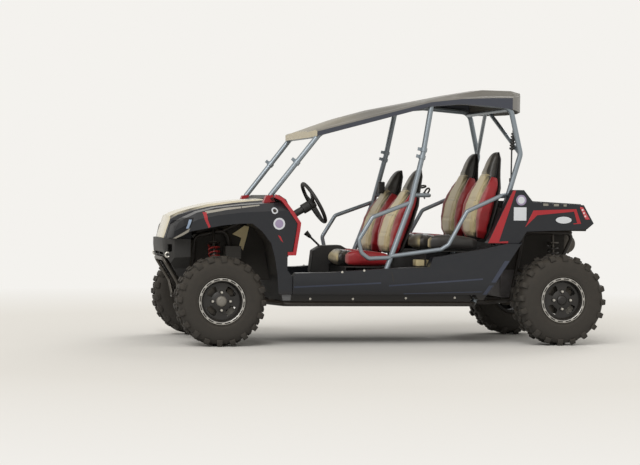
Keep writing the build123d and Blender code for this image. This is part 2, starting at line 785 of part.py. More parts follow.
# Wishbones: the two frame ends of each, and its cross bar's y and z
wishbones = {
    "front_lower": [(front_axle_x + 135, 187, 330), (front_axle_x - 135, 192, 322), None],
    "front_upper": [(1395, 208, 482), (1074, 232, 482), (440, 453)],
    "rear_lower": [(rear_axle_x + 150, 216, 323), (rear_axle_x - 150, 216, 341), (420, 304)],
    "rear_upper": [(-1158, 270, 560), (-1502, 296, 560), None],
}


def make_wishbone(name, tip, radius):
    """Two legs that meet at a tip, and the bar across them that a damper stands on."""
    front, rear, cross = wishbones[name]
    legs = [bar(placed(foot), tip, radius) for foot in (front, rear)]
    arm = legs[0] + legs[1]
    if cross:
        y, z = cross[0] * width_scale, cross[1]
        ends = []
        for foot in (placed(front), placed(rear)):
            ends.append(along(foot, tip, (y - foot[1]) / (tip[1] - foot[1])))
        arm += bar((ends[0][0], y, z), (ends[1][0], y, z), radius + 1)
    return arm


def make_front_arms(frame):
    """Left lower and upper wishbones, with the pins that the knuckle turns on."""
    x, y, z = front_axle_x * length_scale, king_y, front_tyre_r
    lower = make_wishbone("front_lower", (x, y, z - ear_z - 16), 10)
    lower += on_z(18, z - ear_z - 28, z - ear_z - seat_gap, x, y)
    lower += on_z(king_pin_r, z - ear_z - 10, z - 64, x, y)
    upper = make_wishbone("front_upper", (x, y, z + ear_z + 12), 10)
    upper += on_z(18, z + ear_z + seat_gap, z + ear_z + 24, x, y)
    upper += on_z(king_pin_r, z + 64, z + ear_z + 10, x, y)
    return [cut_by(biggest(arm), frame) for arm in (lower, upper)]


def make_rear_arms(frame, carrier):
    """Left lower and upper wishbones of the rear axle."""
    x, y, z = rear_axle_x * length_scale, overall_width / 2 - upright_inset + 35, rear_tyre_r
    lower = make_wishbone("rear_lower", (x, y, z - 70), 13)
    upper = make_wishbone("rear_upper", (x, y, z + 70), 12)
    return [cut_by(biggest(arm), frame + [carrier]) for arm in (lower, upper)]


# Dampers: foot and head of each end's, and where the spring starts and ends along it
dampers = {
    "front": [(front_axle_x, 440, 468), (front_axle_x, 302, 846), 0.09, 0.73],
    "rear": [(rear_axle_x - 50, 420, 316), (rear_axle_x - 50, 342, 836), 0.26, 0.86],
}


def along(start, end, share):
    """A point part of the way from start to end."""
    return tuple(a + (b - a) * share for a, b in zip(start, end))


def make_damper(end, frame, arm):
    """A damper body with its spring seats."""
    foot, head, low, high = dampers[end]
    body = rod(foot, along(foot, head, 0.55), 20) + rod(foot, head, 11)
    body += rod(along(foot, head, low - 0.02), along(foot, head, low), 46)
    body += rod(along(foot, head, high), along(foot, head, high + 0.02), 46)
    return cut_by(biggest(body), frame + [arm])


def make_spring(end):
    """A coil spring's outer form, bored for the damper."""
    foot, head, low, high = dampers[end]
    start, stop = along(foot, head, low + 0.001), along(foot, head, high - 0.001)
    return biggest(rod(start, stop, 46) - rod(start, stop, 34))


def make_shafts(front_case_y, rear_case_y):
    """Left front and rear drive shafts, with a boot at each end."""
    front_end = (front_axle_x * length_scale, king_y - 36, front_tyre_r)
    rear_end = (rear_axle_x * length_scale, overall_width / 2 - upright_inset - seat_gap, rear_tyre_r)
    lines = [
        (placed((front_axle_x + 10, front_case_y + seat_gap, 410)), front_end),
        (placed((rear_axle_x - 20, rear_case_y + seat_gap, 418)), rear_end),
    ]
    shafts = []
    for start, end in lines:
        shaft = bar(start, end, 13)
        for low, high in ((0.04, 0.16), (0.82, 0.95)):
            shaft += bar(along(start, end, low), along(start, end, high), 30)
        between = block((start[0] - 60, start[1], 250), (start[0] + 60, end[1], 500))
        shafts.append(biggest(shaft & between))
    return shafts


def make_silencer():
    """The silencer across the rear, under the last cross tube, with its tail pipe."""
    z = 852 - brace_r - seat_gap - silencer_r
    body = rod((-1560, -250, z), (-1560, 250, z), silencer_r)
    body += rod((-1560, -262, z), (-1560, 262, z), silencer_r - 12)
    pipe = rod((-1560, 150, z - 30), (-1618, 150, z - 60), 24)
    pipe -= rod((-1560, 150, z - 30), (-1640, 150, z - 71.4), 20)
    return biggest(body + (pipe - body))


def make_reservoir(frame):
    """The ribbed grey box on the front tower's rear leg, on the left."""
    box = box_between((1049, 276, 636), (1166, 372, 729))
    for index in range(5):
        z = 648 + index * 16
        box -= box_between((1045, 366, z), (1170, 376, z + 6))
    return cut_by(box, frame)


def make_flag_mount(side):
    """A sprung whip mount on the left rear pillar: bracket, stem, ribbed spring and cap."""
    foot, knee, top = (-1002, 560, 1262), (-1014, 528, 1483), (-1030, 528, 1622)
    stem = rod(foot, knee, 6) + rod(knee, top, 11)
    for index in range(6):
        low = 0.04 + index * 0.16
        stem += rod(along(knee, top, low), along(knee, top, low + 0.09), 20)
    stem += rod(top, (-1033, 528, 1652), 13)
    stem += box_between((-1030, 548, 1240), (-990, 572, 1268))
    return biggest(stem - side)


# Seats: row, front of the cushion, its top, foot of the back, its lean
seat_rows = [("front", 345, 715, front_foot, front_lean), ("rear", -290, 838, rear_foot, rear_lean)]


def make_cushion(front_x, top_z, foot):
    """A seat cushion, higher at its front."""
    rear_x = foot[0] - 30
    side = [
        (front_x, top_z - 96), (front_x - 12, top_z - 24), (front_x - 60, top_z), (rear_x, top_z - 24),
        (rear_x, top_z - cushion_t), (front_x - 34, top_z - cushion_t),
    ]
    return slab(side, seat_y - seat_half_w, seat_y + seat_half_w)


def make_back(foot, lean):
    """A bucket seat's back: waisted outline, bolsters that stand forward and a narrow head."""
    half = [(150, 0), (214, 60), (232, 260), (214, 420), (140, 505), (106, 560), (92, 650), (52, back_height)]
    half = [(y * width_scale, h) for y, h in half]
    whole = half + [(-y, h) for y, h in reversed(half)]
    depth = [
        (0, 0), (38, 110), (60, 270), (30, 400), (0, 500), (-6, 620), (-30, back_height),
        (-62, back_height), (-back_t + 10, 540), (-back_t, 300), (-back_t, 0),
    ]
    body = extrude(outline_face(whole, Plane.YZ), amount=120, both=True)
    body &= Pos(0, 300, 0) * extrude(outline_face(depth, Plane.XZ), amount=600)
    recess = [(110, 40), (138, 180), (138, 330), (112, 440)]
    recess += [(-y, h) for y, h in reversed(recess)]
    body -= Pos(2, 0, 0) * extrude(outline_face(recess, Plane.YZ), amount=100)
    return Pos(*placed((foot[0], seat_y, foot[1]))) * Rot(0, -lean, 0) * biggest(body)


wheel_centre = (480, seat_y, 1062)
column_lean = 59.4
column_axis = Vector(-sin(radians(column_lean)), 0, cos(radians(column_lean)))
wheel_plane = Plane(origin=placed(wheel_centre), z_dir=column_axis, x_dir=(0, 1, 0))


def make_steering_wheel():
    """Rim, three spokes and hub, square to the column."""
    wheel = Torus(166, 14) + Pos(0, 0, -14) * Cylinder(34, 40) + Pos(0, 0, -62) * Cylinder(shaft_r, 60)
    for angle in (90, 210, 330):
        wheel += Rot(0, 0, angle) * block((20, -17, -12), (160, 17, 0))
    return wheel_plane * biggest(wheel)


def make_column(dash):
    """The steering column's housing, from the wheel down to the dash."""
    column = Pos(0, 0, -150) * Cylinder(26, 224) + Pos(0, 0, -70) * Cylinder(38, 60)
    column -= Pos(0, 0, -70) * Cylinder(shaft_r + seat_gap, 80)
    behind = [(2000, 600), (672, 912), (752, 1084), (2000, 1100)]
    return biggest(wheel_plane * column - dash - slab(behind, -600, 600))


def make_rack():
    """The steering rack's housing on the frame, and the bar with its rod ends."""
    x = front_axle_x * length_scale - steer_arm
    z = front_tyre_r + steer_arm_t + rod_end_gap + rod_end_half
    housing = on_y(26, -170, 170, x, z)
    for side in (-1, 1):
        y = 188 * width_scale * side
        housing += block((x - 16, y - 24, z - 46), (x + 16, y + 24, z + 10))
    end_y = king_y - 14
    rack = on_y(9, -end_y, end_y, x, z)
    for y in (-end_y, end_y):
        rack += on_z(15, z - rod_end_half, z + rod_end_half, x, y)
    housing -= on_y(9 + spindle_clearance, -300, 300, x, z)
    return housing, biggest(rack)


def main():
    os.makedirs("parts", exist_ok=True)
    nodes = {}
    groups, frame_cutters = make_frame()
    nodes["frame_rails"] = groups["rail"]
    nodes["chassis_frame"] = groups["cross"]
    nodes["frame_towers"] = groups["tower"]
    hood, fender, lamp, liner = make_front_body()
    nodes["hood"] = [hood]
    nodes["front_fenders"] = both_sides(fender)
    nodes["headlamps"] = both_sides(lamp)
    nodes["wheel_liners"] = both_sides(cut_by(liner, frame_cutters))
    nodes["front_trim"] = both_sides(make_trim()) + both_sides(make_stripe())
    nodes["front_bumper"] = [make_bumper()]
    nodes["front_guard"] = [make_guard(frame_cutters)]
    nodes["rocker_panels"] = both_sides(make_rocker())
    quarter, tail, accents = make_quarter()
    nodes["rear_quarters"] = both_sides(quarter)
    nodes["tail_lamps"] = both_sides(tail)
    nodes["rear_accents"] = [solid for piece in accents for solid in both_sides(piece)]
    nodes["floor_tub"] = [make_floor()]
    dash = make_dash()
    nodes["dashboard"] = [dash]
    bracket = biggest(make_bracket(dash) - side_rails(seat_gap))
    nodes["pillar_brackets"] = both_sides(bracket)
    nodes["steering_column"] = [make_column(dash)]
    nodes["centre_console"] = [make_console()]
    nodes["gear_lever"] = [make_gear_lever()]
    nodes["cargo_bed"] = [make_bed()]
    side, front_bar, hoop, post_cutters, rear_bars, bars = make_cage()
    nodes["cage_sides"] = both_sides(cut_by(side, frame_cutters))
    nodes["cage_front_bar"] = [front_bar]
    nodes["cage_middle_hoop"] = hoop
    nodes["cage_collars"] = [solid for piece in make_collars() for solid in both_sides(piece)]
    nodes["cage_rear_bars"] = rear_bars
    nodes["side_bars"] = [solid for bar in bars for solid in both_sides(bar)]
    roof = make_roof()
    for x, y, low, high in roof_clamps:
        for y_side in (y, -y):
            roof += box_between((x - 16, y_side - 12, low), (x + 16, y_side + 12, high))
    over_cutter = rod((-368, -540, 1818), (-368, 540, 1818), cross_bar_r + seat_gap)
    bar_cutter = rod((505, -540, 1566), (505, 540, 1566), cross_bar_r + seat_gap)
    top_cutter = rod((-975, -554, 1790), (-975, 554, 1790), cross_bar_r + seat_gap)
    roof = roof - side_rails(seat_gap) - post_cutters - bar_cutter - over_cutter - top_cutter
    roof = biggest(roof)
    nodes["roof_panel"] = [roof]
    engine_bottom = rail_z + 16 + brace_r + seat_gap
    nodes["engine_block"] = [box_between((-1330, -190, engine_bottom), (-1040, 190, 800))]
    nodes["rear_gearcase"] = [box_between((-1440, -110, 366), (-1330 - seat_gap, 110, 470))]
    front_case = box_between((1206, -90, 350), (1326, 90, 470))
    front_case += box_between((1250, -200, 336), (1282, 200, 360))
    nodes["front_gearcase"] = [cut_by(biggest(front_case), frame_cutters)]
    knuckle = make_knuckle()
    nodes["knuckle_left"] = [knuckle]
    nodes["knuckle_right"] = [mirrored(knuckle)]
    carrier = make_rear_carrier()
    nodes["rear_carriers"] = both_sides(carrier)
    front_arms = make_front_arms(frame_cutters)
    nodes["front_arms"] = [solid for arm in front_arms for solid in both_sides(arm)]
    rear_arms = make_rear_arms(frame_cutters, carrier)
    nodes["rear_arms"] = [solid for arm in rear_arms for solid in both_sides(arm)]
    nodes["front_dampers"] = both_sides(make_damper("front", frame_cutters, front_arms[0]))
    nodes["rear_dampers"] = both_sides(make_damper("rear", frame_cutters, rear_arms[0]))
    nodes["front_springs"] = both_sides(make_spring("front"))
    nodes["rear_springs"] = both_sides(make_spring("rear"))
    shafts = make_shafts(90, 110)
    nodes["drive_shafts"] = [solid for shaft in shafts for solid in both_sides(shaft)]
    nodes["silencer"] = [make_silencer()]
    nodes["reservoir_box"] = [make_reservoir(frame_cutters)]
    nodes["flag_mount"] = [make_flag_mount(side_rails(seat_gap))]
    housing, bar = make_rack()
    nodes["rack_housing"] = [cut_by(biggest(housing), frame_cutters)]
    nodes["rack_bar"] = [bar]
    for name, front_x, top_z, foot, lean in seat_rows:
        back = make_back(foot, lean)
        nodes["seat_backs_" + name] = both_sides(back)
        nodes["seat_cushions_" + name] = both_sides(biggest(make_cushion(front_x, top_z, foot) - back))
    nodes["steering_wheel"] = [make_steering_wheel()]
    wheels = [("fl", "front", 1), ("fr", "front", -1), ("rl", "rear", 1), ("rr", "rear", -1)]
    sizes = {"front": (front_tyre_r, front_tyre_w), "rear": (rear_tyre_r, rear_tyre_w)}
    pieces = {end: (make_tyre(*size), make_rim(size[1])) for end, size in sizes.items()}
    for name, end, side_sign in wheels:
        tyre, rim = pieces[end]
        nodes["tyre_" + name] = [at_wheel(tyre, end, side_sign)]
        nodes["rim_" + name] = [at_wheel(rim, end, side_sign)]
    for name, solids in nodes.items():
        shape = solids[0] if len(solids) == 1 else Compound(children=solids)
        export_step(Pos(forward_shift, 0, 0) * shape, f"parts/{name}.step")


main()
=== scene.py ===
from math import atan2, cos, hypot, pi, radians, sin

import bmesh
import bpy
from mathutils import Matrix, Vector
from mathutils.bvhtree import BVHTree


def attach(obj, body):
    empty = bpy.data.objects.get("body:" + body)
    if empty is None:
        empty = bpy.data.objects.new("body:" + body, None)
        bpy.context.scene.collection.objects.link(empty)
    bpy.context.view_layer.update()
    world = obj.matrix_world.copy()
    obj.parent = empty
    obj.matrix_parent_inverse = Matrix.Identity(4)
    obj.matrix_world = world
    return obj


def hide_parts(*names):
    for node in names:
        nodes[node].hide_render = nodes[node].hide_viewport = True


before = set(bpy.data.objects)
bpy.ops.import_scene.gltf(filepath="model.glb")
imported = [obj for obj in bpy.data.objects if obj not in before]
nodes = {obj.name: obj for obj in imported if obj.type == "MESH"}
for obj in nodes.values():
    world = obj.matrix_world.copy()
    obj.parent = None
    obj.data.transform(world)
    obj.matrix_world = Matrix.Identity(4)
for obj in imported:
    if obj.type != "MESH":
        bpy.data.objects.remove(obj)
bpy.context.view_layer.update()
mm = 0.001
print("frame loaded:", len(nodes), "nodes")


# camera, at the place and turn that a fit to the wheels and the cage gave

camera = {
    "place": (3.6315, 15.13, 1.08),  # metres
    "azimuth": 12.05,  # degrees from straight beside it, towards the front
    "elevation": 0.92,
    "roll": 0.69,
    "lens": 112.0,  # mm
    "sensor": 36.0,
}


def addCamera(spec):
    turn, lift, roll = (radians(spec[key]) for key in ("azimuth", "elevation", "roll"))
    back = Vector((sin(turn) * cos(lift), cos(turn) * cos(lift), sin(lift)))
    right = (-back).cross(Vector((0, 0, 1))).normalized()
    up = back.cross(right)
    tilted = right * cos(roll) + up * sin(roll)
    raised = up * cos(roll) - right * sin(roll)
    data = bpy.data.cameras.new("camera")
    data.lens = spec["lens"]
    data.sensor_width = spec["sensor"]
    data.clip_end = 200
    holder = bpy.data.objects.new("camera", data)
    turned = Matrix((tilted, raised, back)).transposed().to_4x4()
    holder.matrix_world = Matrix.Translation(spec["place"]) @ turned
    bpy.context.scene.collection.objects.link(holder)
    bpy.context.scene.camera = holder


addCamera(camera)
bpy.context.scene.view_settings.view_transform = "Standard"
print("camera placed")


# finishes

def hexColour(text):
    parts = [int(text[start:start + 2], 16) / 255 for start in (0, 2, 4)]
    linear = [part / 12.92 if part <= 0.04045 else ((part + 0.055) / 1.055) ** 2.4 for part in parts]
    return (*linear, 1.0)


def addNode(material, kind, settings=None, links=None):
    # a setting or link whose name starts small is the node's own, any other is a socket's
    node = material.node_tree.nodes.new("ShaderNode" + kind)
    for key, value in (settings or {}).items():
        if isinstance(key, str) and key[0].islower():
            setattr(node, key, value)
        else:
            node.inputs[key].default_value = value
    for key, source in (links or {}).items():
        material.node_tree.links.new(source, node.inputs[key])
    return node


sideFade = 0.06  # how much further a face turns until its side colour is full
# the most that the low colour, splash and painted shade together, covers
splashAndShadeMost = 0.85
sheenFadeIn = 200  # mm over which the painted front sheen sets in


def makeFinish(name, spec):
    # a mottled colour under up to four layers, with a fine surface grain; the layers paint shade on sideways
    # faces, a darker low band of splash and painted shade, a pale painted sheen on forward faces, and dust
    material = bpy.data.materials.new(name)
    material.use_nodes = True
    tree = material.node_tree
    tree.nodes.clear()
    coords = addNode(material, "TexCoord")
    place = coords.outputs["Object"]
    where = addNode(material, "SeparateXYZ", {}, {0: place})
    facing = addNode(material, "SeparateXYZ", {}, {0: coords.outputs["Normal"]})
    broad = addNode(
        material, "TexNoise",
        {"Scale": 1 / (spec["mottleSize"] * mm), "Detail": 4.0, "Roughness": 0.6}, {"Vector": place},
    )
    colour = addNode(
        material, "Mix",
        {"data_type": "RGBA", 6: hexColour(spec["colour"]), 7: hexColour(spec["mottle"])},
        {0: broad.outputs["Fac"]},
    ).outputs[2]
    layers = []
    if "sideColour" in spec:  # a second colour on the faces that look sideways: painted shade, set off from the lit top and front
        side = addNode(material, "Math", {"operation": "ABSOLUTE"}, {0: facing.outputs["Y"]})
        step = addNode(
            material, "MapRange",
            {"From Min": spec["sideStart"], "From Max": spec["sideStart"] + sideFade},
            {"Value": side.outputs[0]},
        )
        layers.append((spec["sideColour"], step))
    if "lowColour" in spec:  # splashed and shaded near the ground
        low = addNode(
            material, "MapRange",
            {"From Min": spec["lowTo"] * mm, "From Max": spec["lowFrom"] * mm, "To Max": splashAndShadeMost},
            {"Value": where.outputs["Z"]},
        )
        layers.append((spec["lowColour"], low))
    if "frontSheen" in spec:  # painted sheen: a pale colour on the faces that look forwards, standing for the low sun's reflection
        sheenNoise = addNode(
            material, "TexNoise",
            {"Scale": 1 / (spec.get("frontSize", 140) * mm), "Detail": 3.0, "Roughness": 0.5},
            {"Vector": place},
        )
        most = spec["frontSheen"]
        thick = addNode(
            material, "MapRange",
            {"From Min": 0.3, "From Max": 0.6, "To Min": most * spec.get("frontLow", 0.45), "To Max": most},
            {"Value": sheenNoise.outputs["Fac"]},
        )
        ahead = addNode(
            material, "MapRange",
            {"From Min": spec.get("frontStart", 0.25), "From Max": spec.get("frontEnd", 0.9)},
            {"Value": facing.outputs["X"]},
        )
        paintedSheen = addNode(
            material, "Math", {"operation": "MULTIPLY", "use_clamp": True},
            {0: thick.outputs[0], 1: ahead.outputs[0]},
        )
        if "frontFrom" in spec:  # only on the part ahead of this place
            start = spec["frontFrom"]
            reach = addNode(
                material, "MapRange", {"From Min": start * mm, "From Max": (start + sheenFadeIn) * mm},
                {"Value": where.outputs["X"]},
            )
            paintedSheen = addNode(
                material, "Math", {"operation": "MULTIPLY"}, {0: paintedSheen.outputs[0], 1: reach.outputs[0]},
            )
        layers.append((spec["frontColour"], paintedSheen))
    roughSource = broad.outputs["Fac"]
    if "dust" in spec:  # dust in patches, thickest on the faces that look up
        patchy = addNode(
            material, "TexNoise",
            {"Scale": 1 / (spec.get("dustSize", 60) * mm), "Detail": 8.0, "Roughness": 0.7},
            {"Vector": place},
        )
        upward = addNode(
            material, "MapRange",
            {"From Min": -0.2, "From Max": 1.0, "To Min": 0.25, "To Max": 1.0},
            {"Value": facing.outputs["Z"]},
        )
        lie = addNode(
            material, "Math", {"operation": "MULTIPLY"},
            {0: upward.outputs[0], 1: patchy.outputs["Fac"]},
        )
        amount = addNode(
            material, "Math", {"operation": "MULTIPLY", 1: spec["dust"], "use_clamp": True},
            {0: lie.outputs[0]},
        )
        layers.append((spec.get("dustColour", "8d7a62"), amount))
        roughSource = amount.outputs[0]
    for over, share in layers:
        colour = addNode(
            material, "Mix", {"data_type": "RGBA", 7: hexColour(over)}, {0: share.outputs[0], 6: colour},
        ).outputs[2]
    rough = addNode(
        material, "MapRange",
        {"To Min": spec["roughness"], "To Max": min(1.0, spec["roughness"] + spec.get("roughSpread", 0.15))},
        {"Value": roughSource},
    )
    shader = addNode(
        material, "BsdfPrincipled",
        {
            "Metallic": spec.get("metallic", 0.0), "IOR": spec.get("ior", 1.5),
            "Coat Weight": spec.get("coat", 0.0), "Coat Roughness": spec.get("coatRoughness", 0.1),
            "Sheen Weight": spec.get("sheen", 0.0), "Specular IOR Level": spec.get("specular", 0.5),
        },
        {"Base Color": colour, "Roughness": rough.outputs[0]},
    )
    if "grainHeight" in spec:
        scale = 1 / (spec["grainSize"] * mm)
        if spec.get("grainKind") == "cells":
            grain = addNode(material, "TexVoronoi", {"Scale": scale}, {"Vector": place}).outputs["Distance"]
        else:
            grain = addNode(
                material, "TexNoise", {"Scale": scale, "Detail": 2.0}, {"Vector": place},
            ).outputs["Fac"]
        bump = addNode(
            material, "Bump",
            {"Strength": spec.get("grainStrength", 0.4), "Distance": spec["grainHeight"] * mm},
            {"Height": grain},
        )
        tree.links.new(bump.outputs[0], shader.inputs["Normal"])
    addNode(material, "OutputMaterial", {}, {"Surface": shader.outputs[0]})
    return material


# embossed leather grain of the seats' vinyl
vinylGrain = {
    "roughSpread": 0.2, "grainKind": "cells", "grainSize": 2.0, "grainHeight": 0.35, "grainStrength": 0.35,
}
